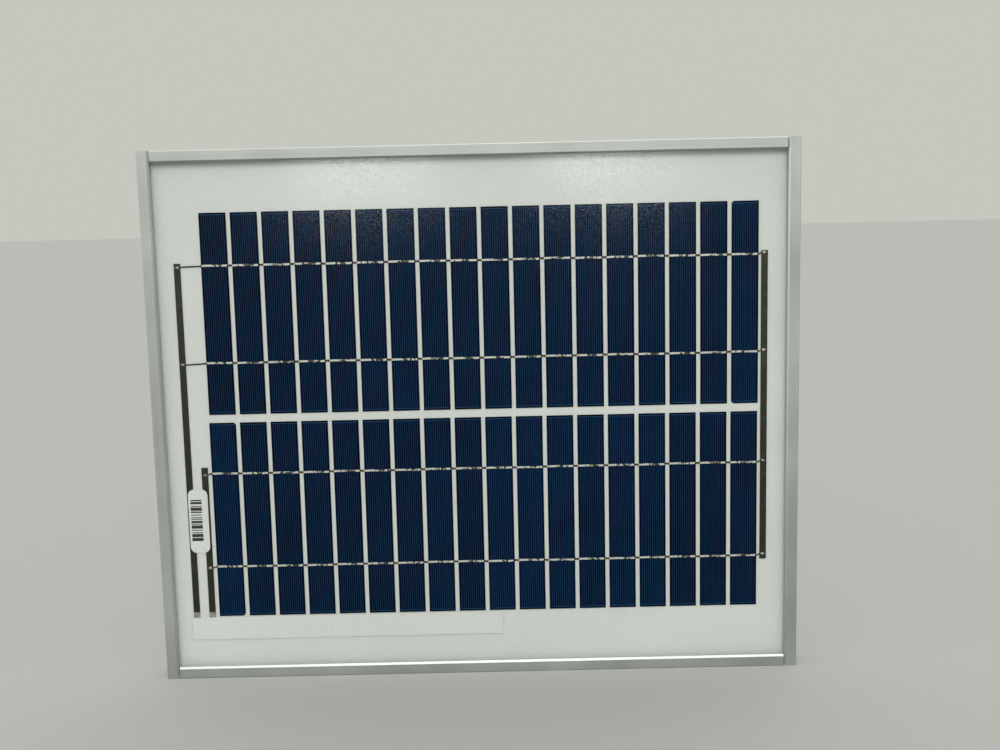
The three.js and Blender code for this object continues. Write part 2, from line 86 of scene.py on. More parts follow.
glass_low, glass_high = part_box("glass")
cell_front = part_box("cell_upper_01")[0].y
cell_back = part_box("cell_upper_01")[1].y
cell_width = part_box("cell_upper_01")[1].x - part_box("cell_upper_01")[0].x
cell_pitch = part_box("cell_upper_02")[0].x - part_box("cell_upper_01")[0].x
cells_in_row = 18
rows = {
    name: {"low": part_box(f"cell_{name}_01")[0], "high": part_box(f"cell_{name}_{cells_in_row}")[1]}
    for name in ("upper", "lower")
}
box_low, box_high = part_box("junction_box_base")
lid_low, lid_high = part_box("junction_box_lid")
sheet_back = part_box("backsheet")[1].y

TAB_FROM_CELL_END = 40.4 * MM        # ribbon lines, from the end of the cells
TAB_WIDTH = 1.5 * MM
TAB_THICKNESS = 0.12 * MM
FINGER_PITCH = 1.65 * MM
BARE_SIDE = 0.75 * MM                # margins of a cell with no print on them
BARE_END = 1.3 * MM
JOINING_LINE_IN = 1.55 * MM          # the line that joins the fingers, from the cell's end
JOINING_LINE_HALF = 0.2 * MM


# ------------------------------------------------------------------ shared steps for pieces

def deselect():
    if bpy.context.object and bpy.context.object.mode != "OBJECT":
        bpy.ops.object.mode_set(mode="OBJECT")
    bpy.ops.object.select_all(action="DESELECT")


def only(piece):
    deselect()
    piece.select_set(True)
    bpy.context.view_layer.objects.active = piece


def settle(piece, name, body, material):
    """Puts the piece's place in its mesh, names it, and ties it to its body and material slot."""
    only(piece)
    bpy.ops.object.transform_apply(location=True, rotation=True, scale=True)
    piece.name = name
    piece.data.materials.clear()
    piece.data.materials.append(material)
    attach(piece, body)


def use_modifier(piece, kind, **settings):
    only(piece)
    modifier = piece.modifiers.new(kind.lower(), kind)
    for key, value in settings.items():
        setattr(modifier, key, value)
    bpy.ops.object.modifier_apply(modifier=modifier.name)


def smooth_edges(piece, degrees=40):
    """Smooth shading over the small rounded edges, with the flat faces kept flat."""
    only(piece)
    bpy.ops.object.shade_smooth_by_angle(angle=math.radians(degrees))
    use_modifier(piece, "WEIGHTED_NORMAL", weight=100, keep_sharp=True)


def merged_copy(node):
    """A welded copy of a CAD node, free to be bevelled."""
    piece = nodes_of_cad[node].copy()
    piece.data = nodes_of_cad[node].data.copy()
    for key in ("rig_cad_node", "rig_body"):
        if key in piece:
            del piece[key]
    piece.parent = None
    piece.matrix_world = Matrix.Identity(4)
    scene.collection.objects.link(piece)
    only(piece)
    bpy.ops.object.mode_set(mode="EDIT")
    bpy.ops.mesh.select_all(action="SELECT")
    bpy.ops.mesh.remove_doubles(threshold=0.002 * MM)
    bpy.ops.mesh.dissolve_limited(angle_limit=math.radians(1.0))
    bpy.ops.object.mode_set(mode="OBJECT")
    return piece


def softened(node, name, material, edge, body="panel"):
    """A CAD node's shape with small rounded edges in place of sharp ones."""
    piece = merged_copy(node)
    use_modifier(
        piece, "BEVEL", width=edge * MM, segments=2, limit_method="ANGLE",
        angle_limit=math.radians(25), miter_outer="MITER_ARC", use_clamp_overlap=True,
    )
    smooth_edges(piece)
    settle(piece, name, body, material)
    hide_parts(node)


def cube_between(low, high):
    deselect()
    low, high = Vector(low), Vector(high)
    bpy.ops.mesh.primitive_cube_add(size=1, location=(low + high) / 2)
    piece = bpy.context.object
    piece.scale = high - low
    bpy.ops.object.transform_apply(location=False, rotation=False, scale=True)
    return piece


def cylinder_along(axis, radius, start, length, sides=32):
    """A cylinder from start, running length along +axis."""
    turn = {"X": (0, math.pi / 2, 0), "Y": (-math.pi / 2, 0, 0), "Z": (0, 0, 0)}[axis]
    step = {"X": Vector((1, 0, 0)), "Y": Vector((0, 1, 0)), "Z": Vector((0, 0, 1))}[axis]
    deselect()
    bpy.ops.mesh.primitive_cylinder_add(
        vertices=sides, radius=radius, depth=length,
        location=Vector(start) + step * (length / 2), rotation=turn,
    )
    piece = bpy.context.object
    bpy.ops.object.transform_apply(location=False, rotation=True, scale=False)
    return piece


def joined(pieces):
    deselect()
    for piece in pieces:
        piece.select_set(True)
    bpy.context.view_layer.objects.active = pieces[0]
    if len(pieces) > 1:
        bpy.ops.object.join()
    return bpy.context.object


def copy_to(piece, offset):
    twin = piece.copy()
    twin.data = piece.data.copy()
    scene.collection.objects.link(twin)
    twin.location = piece.location + Vector(offset)
    return twin


def carve(piece, cutter):
    use_modifier(piece, "BOOLEAN", operation="DIFFERENCE", object=cutter, solver="EXACT")
    bpy.data.objects.remove(cutter)


def pick(piece, test):
    """Leaves the piece in edit mode, with the corners chosen whose places pass the test."""
    only(piece)
    bpy.ops.object.mode_set(mode="EDIT")
    bpy.ops.mesh.select_mode(type="VERT")
    bpy.ops.mesh.select_all(action="DESELECT")
    bpy.ops.object.mode_set(mode="OBJECT")
    for vertex in piece.data.vertices:
        vertex.select = test(vertex.co)
    bpy.ops.object.mode_set(mode="EDIT")


def round_edges(piece, width, segments=2, angle=40):
    """Rounds each edge that turns by more than the angle, by a width in millimetres."""
    use_modifier(piece, "BEVEL", width=width * MM, segments=segments, limit_method="ANGLE",
                 angle_limit=math.radians(angle))
    smooth_edges(piece)


def outward(piece):
    """Welds the mesh and turns all its faces outwards."""
    only(piece)
    bpy.ops.object.mode_set(mode="EDIT")
    bpy.ops.mesh.select_all(action="SELECT")
    bpy.ops.mesh.remove_doubles(threshold=0.001 * MM)
    bpy.ops.mesh.normals_make_consistent(inside=False)
    bpy.ops.object.mode_set(mode="OBJECT")


# ------------------------------------------------------------------ shared steps for materials

def new_material(name):
    material = bpy.data.materials.new(name)
    material.use_nodes = True
    material.node_tree.nodes.clear()
    return material, material.node_tree.nodes, material.node_tree.links


def arrange(nodes, groups):
    """Labels each node, and stands each group in its own framed column."""
    for column, (effect, members) in enumerate(groups.items()):
        holder = nodes.new("NodeFrame")
        holder.label = effect
        for row, (label, node) in enumerate(members.items()):
            node.label = label
            node.parent = holder
            node.location = (column * 280, -row * 230)


# ------------------------------------------------------------------ materials

def anodised(name, along):
    """Clear anodised aluminium, with drawn lines running along X or Z."""
    tone = (0.60, 0.635, 0.585)
    material, nodes, links = new_material(name)
    place = nodes.new("ShaderNodeTexCoord")
    stretch = nodes.new("ShaderNodeMapping")
    stretch.inputs["Scale"].default_value = (4, 700, 700) if along == "X" else (700, 700, 4)
    lines = nodes.new("ShaderNodeTexNoise")
    lines.inputs["Scale"].default_value = 1.0
    lines.inputs["Detail"].default_value = 6
    lines.inputs["Roughness"].default_value = 0.7
    links.new(place.outputs["Object"], stretch.inputs["Vector"])
    links.new(stretch.outputs["Vector"], lines.inputs["Vector"])
    line_height = nodes.new("ShaderNodeBump")
    line_height.inputs["Strength"].default_value = 0.22
    line_height.inputs["Distance"].default_value = 0.03 * MM
    links.new(lines.outputs["Fac"], line_height.inputs["Height"])

    clouds = nodes.new("ShaderNodeTexNoise")
    clouds.inputs["Scale"].default_value = 22
    clouds.inputs["Detail"].default_value = 5
    links.new(place.outputs["Object"], clouds.inputs["Vector"])
    cloud_tone = nodes.new("ShaderNodeValToRGB")
    cloud_tone.color_ramp.elements[0].position = 0.3
    cloud_tone.color_ramp.elements[0].color = (*[c * 0.93 for c in tone], 1)
    cloud_tone.color_ramp.elements[1].position = 0.7
    cloud_tone.color_ramp.elements[1].color = (*[min(1, c * 1.05) for c in tone], 1)
    links.new(clouds.outputs["Fac"], cloud_tone.inputs["Fac"])
    line_tone = nodes.new("ShaderNodeMapRange")
    line_tone.inputs["From Min"].default_value = 0.3
    line_tone.inputs["From Max"].default_value = 0.7
    line_tone.inputs["To Min"].default_value = 0.93
    line_tone.inputs["To Max"].default_value = 1.06
    links.new(lines.outputs["Fac"], line_tone.inputs["Value"])
    toned = nodes.new("ShaderNodeVectorMath")
    toned.operation = "SCALE"
    links.new(cloud_tone.outputs["Color"], toned.inputs[0])
    links.new(line_tone.outputs["Result"], toned.inputs["Scale"])

    rub_stretch = nodes.new("ShaderNodeMapping")
    rub_stretch.inputs["Scale"].default_value = (60, 500, 900) if along == "X" else (900, 500, 60)
    links.new(place.outputs["Object"], rub_stretch.inputs["Vector"])
    rubs = nodes.new("ShaderNodeTexNoise")
    rubs.inputs["Scale"].default_value = 1.0
    rubs.inputs["Detail"].default_value = 2
    links.new(rub_stretch.outputs["Vector"], rubs.inputs["Vector"])
    rub_line = nodes.new("ShaderNodeMapRange")
    rub_line.inputs["From Min"].default_value = 0.68
    rub_line.inputs["From Max"].default_value = 0.76
    rub_line.inputs["To Max"].default_value = 0.35
    links.new(rubs.outputs["Fac"], rub_line.inputs["Value"])
    scuffed = nodes.new("ShaderNodeMixRGB")
    scuffed.inputs["Color2"].default_value = (0.80, 0.81, 0.79, 1)
    links.new(rub_line.outputs["Result"], scuffed.inputs["Fac"])
    links.new(toned.outputs["Vector"], scuffed.inputs["Color1"])

    sheen = nodes.new("ShaderNodeMapRange")
    sheen.inputs["To Min"].default_value = 0.36
    sheen.inputs["To Max"].default_value = 0.52
    links.new(clouds.outputs["Fac"], sheen.inputs["Value"])
    metal = nodes.new("ShaderNodeBsdfPrincipled")
    metal.inputs["Metallic"].default_value = 0.7
    links.new(scuffed.outputs["Color"], metal.inputs["Base Color"])
    links.new(sheen.outputs["Result"], metal.inputs["Roughness"])
    links.new(line_height.outputs["Normal"], metal.inputs["Normal"])
    output = nodes.new("ShaderNodeOutputMaterial")
    links.new(metal.outputs["BSDF"], output.inputs["Surface"])
    arrange(nodes, {
        "Drawn lines": {"Place on the rail": place, "Stretch along the rail": stretch,
                        "Fine lines": lines, "Line depth": line_height},
        "Oxide tone": {"Cloudy oxide": clouds, "Pale and dark oxide": cloud_tone,
                       "Line contrast": line_tone, "Tone with lines": toned},
        "Rubbed marks": {"Stretch of the marks": rub_stretch, "Marks": rubs, "Faint marks": rub_line,
                         "Bared metal": scuffed},
        "Surface": {"Satin variation": sheen, "Anodised metal": metal, "Rail": output},
    })
    return material


def silicon(name, row, seed):
    """Blue cell strips with printed finger lines, each strip of its own tone."""
    low, high = row["low"], row["high"]
    material, nodes, links = new_material(name)
    place = nodes.new("ShaderNodeTexCoord")
    axes = nodes.new("ShaderNodeSeparateXYZ")
    links.new(place.outputs["Object"], axes.inputs["Vector"])
    from_first = nodes.new("ShaderNodeMath")
    from_first.operation = "SUBTRACT"
    from_first.inputs[1].default_value = low.x - (cell_pitch - cell_width) / 2
    links.new(axes.outputs["X"], from_first.inputs[0])
    in_pitches = nodes.new("ShaderNodeMath")
    in_pitches.operation = "DIVIDE"
    in_pitches.inputs[1].default_value = cell_pitch
    links.new(from_first.outputs["Value"], in_pitches.inputs[0])
    strip_number = nodes.new("ShaderNodeMath")
    strip_number.operation = "FLOOR"
    links.new(in_pitches.outputs["Value"], strip_number.inputs[0])
    strip_seed = nodes.new("ShaderNodeMath")
    strip_seed.operation = "ADD"
    strip_seed.inputs[1].default_value = seed
    links.new(strip_number.outputs["Value"], strip_seed.inputs[0])
    strip_random = nodes.new("ShaderNodeTexWhiteNoise")
    strip_random.noise_dimensions = "1D"
    links.new(strip_seed.outputs["Value"], strip_random.inputs["W"])
    strip_tone = nodes.new("ShaderNodeValToRGB")
    strip_tone.color_ramp.elements[0].color = (0.0011, 0.0026, 0.0125, 1)
    strip_tone.color_ramp.elements[1].color = (0.0003, 0.0062, 0.0265, 1)
    middle = strip_tone.color_ramp.elements.new(0.4)
    middle.color = (0.0005, 0.0045, 0.0195, 1)
    links.new(strip_random.outputs["Value"], strip_tone.inputs["Fac"])

    crystals = nodes.new("ShaderNodeTexVoronoi")
    crystals.inputs["Scale"].default_value = 85
    links.new(place.outputs["Object"], crystals.inputs["Vector"])
    crystal_grey = nodes.new("ShaderNodeRGBToBW")
    links.new(crystals.outputs["Color"], crystal_grey.inputs["Color"])
    crystal_tone = nodes.new("ShaderNodeMapRange")
    crystal_tone.inputs["To Min"].default_value = 0.85
    crystal_tone.inputs["To Max"].default_value = 1.18
    links.new(crystal_grey.outputs["Val"], crystal_tone.inputs["Value"])
    coating = nodes.new("ShaderNodeTexNoise")
    coating.inputs["Scale"].default_value = 14
    coating.inputs["Detail"].default_value = 2
    links.new(place.outputs["Object"], coating.inputs["Vector"])
    coating_tone = nodes.new("ShaderNodeMapRange")
    coating_tone.inputs["From Min"].default_value = 0.3
    coating_tone.inputs["From Max"].default_value = 0.7
    coating_tone.inputs["To Min"].default_value = 0.75
    coating_tone.inputs["To Max"].default_value = 1.3
    links.new(coating.outputs["Fac"], coating_tone.inputs["Value"])
    grain = nodes.new("ShaderNodeMath")
    grain.operation = "MULTIPLY"
    links.new(crystal_tone.outputs["Result"], grain.inputs[0])
    links.new(coating_tone.outputs["Result"], grain.inputs[1])
    grained = nodes.new("ShaderNodeVectorMath")
    grained.operation = "SCALE"
    links.new(strip_tone.outputs["Color"], grained.inputs[0])
    links.new(grain.outputs["Value"], grained.inputs["Scale"])

    across = nodes.new("ShaderNodeMath")
    across.operation = "FRACT"
    links.new(in_pitches.outputs["Value"], across.inputs[0])
    from_middle = nodes.new("ShaderNodeMath")
    from_middle.operation = "SUBTRACT"
    from_middle.inputs[1].default_value = 0.5
    links.new(across.outputs["Value"], from_middle.inputs[0])
    side_distance = nodes.new("ShaderNodeMath")
    side_distance.operation = "ABSOLUTE"
    links.new(from_middle.outputs["Value"], side_distance.inputs[0])
    within_sides = nodes.new("ShaderNodeMath")
    within_sides.operation = "LESS_THAN"
    within_sides.inputs[1].default_value = (cell_width / 2 - BARE_SIDE) / cell_pitch
    links.new(side_distance.outputs["Value"], within_sides.inputs[0])
    finger_phase = nodes.new("ShaderNodeMath")
    finger_phase.operation = "MULTIPLY"
    finger_phase.inputs[1].default_value = cell_pitch / FINGER_PITCH
    links.new(from_middle.outputs["Value"], finger_phase.inputs[0])
    finger_wave = nodes.new("ShaderNodeMath")
    finger_wave.operation = "PINGPONG"
    finger_wave.inputs[1].default_value = 0.5
    links.new(finger_phase.outputs["Value"], finger_wave.inputs[0])
    finger_line = nodes.new("ShaderNodeMapRange")
    finger_line.inputs["From Min"].default_value = 0.06
    finger_line.inputs["From Max"].default_value = 0.2
    finger_line.inputs["To Min"].default_value = 0.5
    finger_line.inputs["To Max"].default_value = 0.0
    links.new(finger_wave.outputs["Value"], finger_line.inputs["Value"])

    from_centre_line = nodes.new("ShaderNodeMath")
    from_centre_line.operation = "SUBTRACT"
    from_centre_line.inputs[1].default_value = (low.z + high.z) / 2
    links.new(axes.outputs["Z"], from_centre_line.inputs[0])
    end_distance = nodes.new("ShaderNodeMath")
    end_distance.operation = "ABSOLUTE"
    links.new(from_centre_line.outputs["Value"], end_distance.inputs[0])
    within_ends = nodes.new("ShaderNodeMath")
    within_ends.operation = "LESS_THAN"
    within_ends.inputs[1].default_value = (high.z - low.z) / 2 - BARE_END
    links.new(end_distance.outputs["Value"], within_ends.inputs[0])
    joining_line = nodes.new("ShaderNodeMath")
    joining_line.operation = "COMPARE"
    joining_line.inputs[1].default_value = (high.z - low.z) / 2 - JOINING_LINE_IN
    joining_line.inputs[2].default_value = JOINING_LINE_HALF
    links.new(end_distance.outputs["Value"], joining_line.inputs[0])
    printed = nodes.new("ShaderNodeMath")
    printed.operation = "MAXIMUM"
    links.new(finger_line.outputs["Result"], printed.inputs[0])
    links.new(joining_line.outputs["Value"], printed.inputs[1])
    inside = nodes.new("ShaderNodeMath")
    inside.operation = "MULTIPLY"
    links.new(within_sides.outputs["Value"], inside.inputs[0])
    links.new(within_ends.outputs["Value"], inside.inputs[1])
    silver_mask = nodes.new("ShaderNodeMath")
    silver_mask.operation = "MULTIPLY"
    links.new(printed.outputs["Value"], silver_mask.inputs[0])
    links.new(inside.outputs["Value"], silver_mask.inputs[1])
    silver_amount = nodes.new("ShaderNodeMath")
    silver_amount.operation = "MULTIPLY"
    silver_amount.inputs[1].default_value = 0.75
    links.new(silver_mask.outputs["Value"], silver_amount.inputs[0])
    edge_shade = nodes.new("ShaderNodeMapRange")
    edge_shade.inputs["To Min"].default_value = 0.3
    edge_shade.inputs["To Max"].default_value = 1.0
    links.new(inside.outputs["Value"], edge_shade.inputs["Value"])
    edged = nodes.new("ShaderNodeVectorMath")
    edged.operation = "SCALE"
    links.new(grained.outputs["Vector"], edged.inputs[0])
    links.new(edge_shade.outputs["Result"], edged.inputs["Scale"])
    with_fingers = nodes.new("ShaderNodeMixRGB")
    with_fingers.inputs["Color2"].default_value = (0.024, 0.092, 0.205, 1)
    links.new(silver_amount.outputs["Value"], with_fingers.inputs["Fac"])
    links.new(edged.outputs["Vector"], with_fingers.inputs["Color1"])

    gloss = nodes.new("ShaderNodeMapRange")
    gloss.inputs["To Min"].default_value = 0.28
    gloss.inputs["To Max"].default_value = 0.46
    links.new(crystal_grey.outputs["Val"], gloss.inputs["Value"])
    print_height = nodes.new("ShaderNodeBump")
    print_height.inputs["Strength"].default_value = 0.3
    print_height.inputs["Distance"].default_value = 0.02 * MM
    links.new(silver_mask.outputs["Value"], print_height.inputs["Height"])
    wafer = nodes.new("ShaderNodeBsdfPrincipled")
    wafer.inputs["Specular IOR Level"].default_value = 0.03
    links.new(with_fingers.outputs["Color"], wafer.inputs["Base Color"])
    links.new(gloss.outputs["Result"], wafer.inputs["Roughness"])
    links.new(print_height.outputs["Normal"], wafer.inputs["Normal"])
    output = nodes.new("ShaderNodeOutputMaterial")
    links.new(wafer.outputs["BSDF"], output.inputs["Surface"])
    arrange(nodes, {
        "Which strip": {"Place on the row": place, "Across and up": axes,
                        "From the first strip": from_first, "In strips": in_pitches,
                        "Strip number": strip_number, "Row's own seed": strip_seed,
                        "Tone for the strip": strip_random, "Navy to near black": strip_tone},
        "Crystal grain": {"Crystals": crystals, "Crystal brightness": crystal_grey,
                          "Crystal contrast": crystal_tone, "Coating thickness": coating,
                          "Coating contrast": coating_tone, "Grain": grain, "Tone with grain": grained},
        "Finger lines": {"Across one strip": across, "From the strip's middle": from_middle,
                         "Distance to the side": side_distance, "Inside the bare sides": within_sides,
                         "Fingers per strip": finger_phase, "Distance to a finger": finger_wave,
                         "Finger width": finger_line},
        "Strip ends": {"From the row's middle": from_centre_line, "Distance to the end": end_distance,
                       "Inside the bare ends": within_ends, "Line that joins the fingers": joining_line,
                       "All that is printed": printed, "Printed area": inside,
                       "Silver": silver_mask, "Silver strength": silver_amount},
        "Surface": {"Darker bare margin": edge_shade, "Tone with margin": edged,
                    "Silver over blue": with_fingers, "Crystal gloss": gloss,
                    "Raised print": print_height, "Wafer": wafer, "Cell": output},
    })
    return material


def rolled_glass():
    """Clear glass with the fine grain of a rolled face, and faint smudges in its shine. Only the
    front face mirrors, and only from outside, so that the sheet behind stays lit at a slant."""
    material, nodes, links = new_material("rolled_glass")
    place = nodes.new("ShaderNodeTexCoord")
    grain = nodes.new("ShaderNodeTexNoise")
    grain.inputs["Scale"].default_value = 800
    grain.inputs["Detail"].default_value = 2
    links.new(place.outputs["Object"], grain.inputs["Vector"])
    grain_height = nodes.new("ShaderNodeBump")
    grain_height.inputs["Strength"].default_value = 0.4
    grain_height.inputs["Distance"].default_value = 0.045 * MM
    links.new(grain.outputs["Fac"], grain_height.inputs["Height"])
    smudges = nodes.new("ShaderNodeTexNoise")
    smudges.inputs["Scale"].default_value = 9
    smudges.inputs["Detail"].default_value = 8
    links.new(place.outputs["Object"], smudges.inputs["Vector"])
    haze = nodes.new("ShaderNodeMapRange")
    haze.inputs["From Min"].default_value = 0.35
    haze.inputs["From Max"].default_value = 0.7
    haze.inputs["To Min"].default_value = 0.10
    haze.inputs["To Max"].default_value = 0.14
    links.new(smudges.outputs["Fac"], haze.inputs["Value"])
    gloss = nodes.new("ShaderNodeBsdfAnisotropic")
    gloss.inputs["Color"].default_value = (1, 1, 1, 1)
    links.new(haze.outputs["Result"], gloss.inputs["Roughness"])
    links.new(grain_height.outputs["Normal"], gloss.inputs["Normal"])
    clear = nodes.new("ShaderNodeBsdfTransparent")
    clear.inputs["Color"].default_value = (0.993, 0.996, 0.993, 1)

    axes = nodes.new("ShaderNodeSeparateXYZ")
    links.new(place.outputs["Normal"], axes.inputs["Vector"])
    front_face = nodes.new("ShaderNodeMath")
    front_face.operation = "LESS_THAN"
    front_face.inputs[1].default_value = -0.5
    links.new(axes.outputs["Y"], front_face.inputs[0])
    mirror_share = nodes.new("ShaderNodeFresnel")
    mirror_share.inputs["IOR"].default_value = 1.42
    front_mirror = nodes.new("ShaderNodeMath")
    front_mirror.operation = "MULTIPLY"
    links.new(mirror_share.outputs["Fac"], front_mirror.inputs[0])
    links.new(front_face.outputs["Value"], front_mirror.inputs[1])
    side = nodes.new("ShaderNodeNewGeometry")
    from_outside = nodes.new("ShaderNodeMath")
    from_outside.operation = "SUBTRACT"
    from_outside.inputs[0].default_value = 1
    links.new(side.outputs["Backfacing"], from_outside.inputs[1])
    outer_mirror = nodes.new("ShaderNodeMath")
    outer_mirror.operation = "MULTIPLY"
    links.new(front_mirror.outputs["Value"], outer_mirror.inputs[0])
    links.new(from_outside.outputs["Value"], outer_mirror.inputs[1])
    glints = nodes.new("ShaderNodeMapRange")
    glints.inputs["From Min"].default_value = 0.36
    glints.inputs["From Max"].default_value = 0.64
    glints.inputs["To Min"].default_value = 0.1
    glints.inputs["To Max"].default_value = 1.9
    links.new(grain.outputs["Fac"], glints.inputs["Value"])
    glinting = nodes.new("ShaderNodeMath")
    glinting.operation = "MULTIPLY"
    links.new(outer_mirror.outputs["Value"], glinting.inputs[0])
    links.new(glints.outputs["Result"], glinting.inputs[1])
    glass = nodes.new("ShaderNodeMixShader")
    links.new(glinting.outputs["Value"], glass.inputs["Fac"])
    links.new(clear.outputs["BSDF"], glass.inputs[1])
    links.new(gloss.outputs["BSDF"], glass.inputs[2])
    output = nodes.new("ShaderNodeOutputMaterial")
    links.new(glass.outputs["Shader"], output.inputs["Surface"])
    arrange(nodes, {
        "Rolled grain": {"Place on the glass": place, "Fine grain": grain, "Grain depth": grain_height,
                         "Glints on the grain": glints, "Glinting mirror": glinting},
        "Wiped smudges": {"Smudges": smudges, "Haze of the shine": haze, "Shine of the front": gloss,
                          "Clear glass": clear},
        "Front face only": {"Facing": axes, "The front face": front_face, "Share mirrored": mirror_share,
                            "Mirrored at the front": front_mirror, "Side looked at": side,
                            "Seen from outside": from_outside, "Outer mirror only": outer_mirror},
        "Surface": {"Shine over clear": glass, "Glass": output},
    })
    return material


def matte_sheet(name, tone, weave_depth):
    """White laminate, strip or label paper: matte, faintly uneven, with a fine weave."""
    material, nodes, links = new_material(name)
    place = nodes.new("ShaderNodeTexCoord")
    mottle = nodes.new("ShaderNodeTexNoise")
    mottle.inputs["Scale"].default_value = 12
    mottle.inputs["Detail"].default_value = 6
    links.new(place.outputs["Object"], mottle.inputs["Vector"])
    mottle_tone = nodes.new("ShaderNodeValToRGB")
    mottle_tone.color_ramp.elements[0].position = 0.3
    mottle_tone.color_ramp.elements[0].color = (*[c * 0.965 for c in tone], 1)
    mottle_tone.color_ramp.elements[1].position = 0.7
    mottle_tone.color_ramp.elements[1].color = (*[min(1, c * 1.02) for c in tone], 1)
    links.new(mottle.outputs["Fac"], mottle_tone.inputs["Fac"])

    weave_x = nodes.new("ShaderNodeTexWave")
    weave_x.bands_direction = "X"
    weave_x.inputs["Scale"].default_value = 420
    weave_x.inputs["Distortion"].default_value = 1.2
    links.new(place.outputs["Object"], weave_x.inputs["Vector"])
    weave_z = nodes.new("ShaderNodeTexWave")
    weave_z.bands_direction = "Z"
    weave_z.inputs["Scale"].default_value = 420
    weave_z.inputs["Distortion"].default_value = 1.2
    links.new(place.outputs["Object"], weave_z.inputs["Vector"])
    weave = nodes.new("ShaderNodeMath")
    weave.operation = "ADD"
    links.new(weave_x.outputs["Fac"], weave.inputs[0])
    links.new(weave_z.outputs["Fac"], weave.inputs[1])
    weave_height = nodes.new("ShaderNodeBump")
    weave_height.inputs["Strength"].default_value = weave_depth
    weave_height.inputs["Distance"].default_value = 0.04 * MM
    links.new(weave.outputs["Value"], weave_height.inputs["Height"])
    satin = nodes.new("ShaderNodeMapRange")
    satin.inputs["To Min"].default_value = 0.5
    satin.inputs["To Max"].default_value = 0.72
    links.new(mottle.outputs["Fac"], satin.inputs["Value"])
    sheet = nodes.new("ShaderNodeBsdfPrincipled")
    sheet.inputs["Specular IOR Level"].default_value = 0.3
    links.new(mottle_tone.outputs["Color"], sheet.inputs["Base Color"])
    links.new(satin.outputs["Result"], sheet.inputs["Roughness"])
    links.new(weave_height.outputs["Normal"], sheet.inputs["Normal"])
    output = nodes.new("ShaderNodeOutputMaterial")
    links.new(sheet.outputs["BSDF"], output.inputs["Surface"])
    arrange(nodes, {
        "Uneven white": {"Place on the sheet": place, "Mottle": mottle, "White range": mottle_tone},
        "Weave": {"Threads across": weave_x, "Threads up": weave_z, "Crossed": weave,
                  "Weave depth": weave_height},
        "Surface": {"Satin variation": satin, "Sheet": sheet, "White sheet": output},
    })
    return material


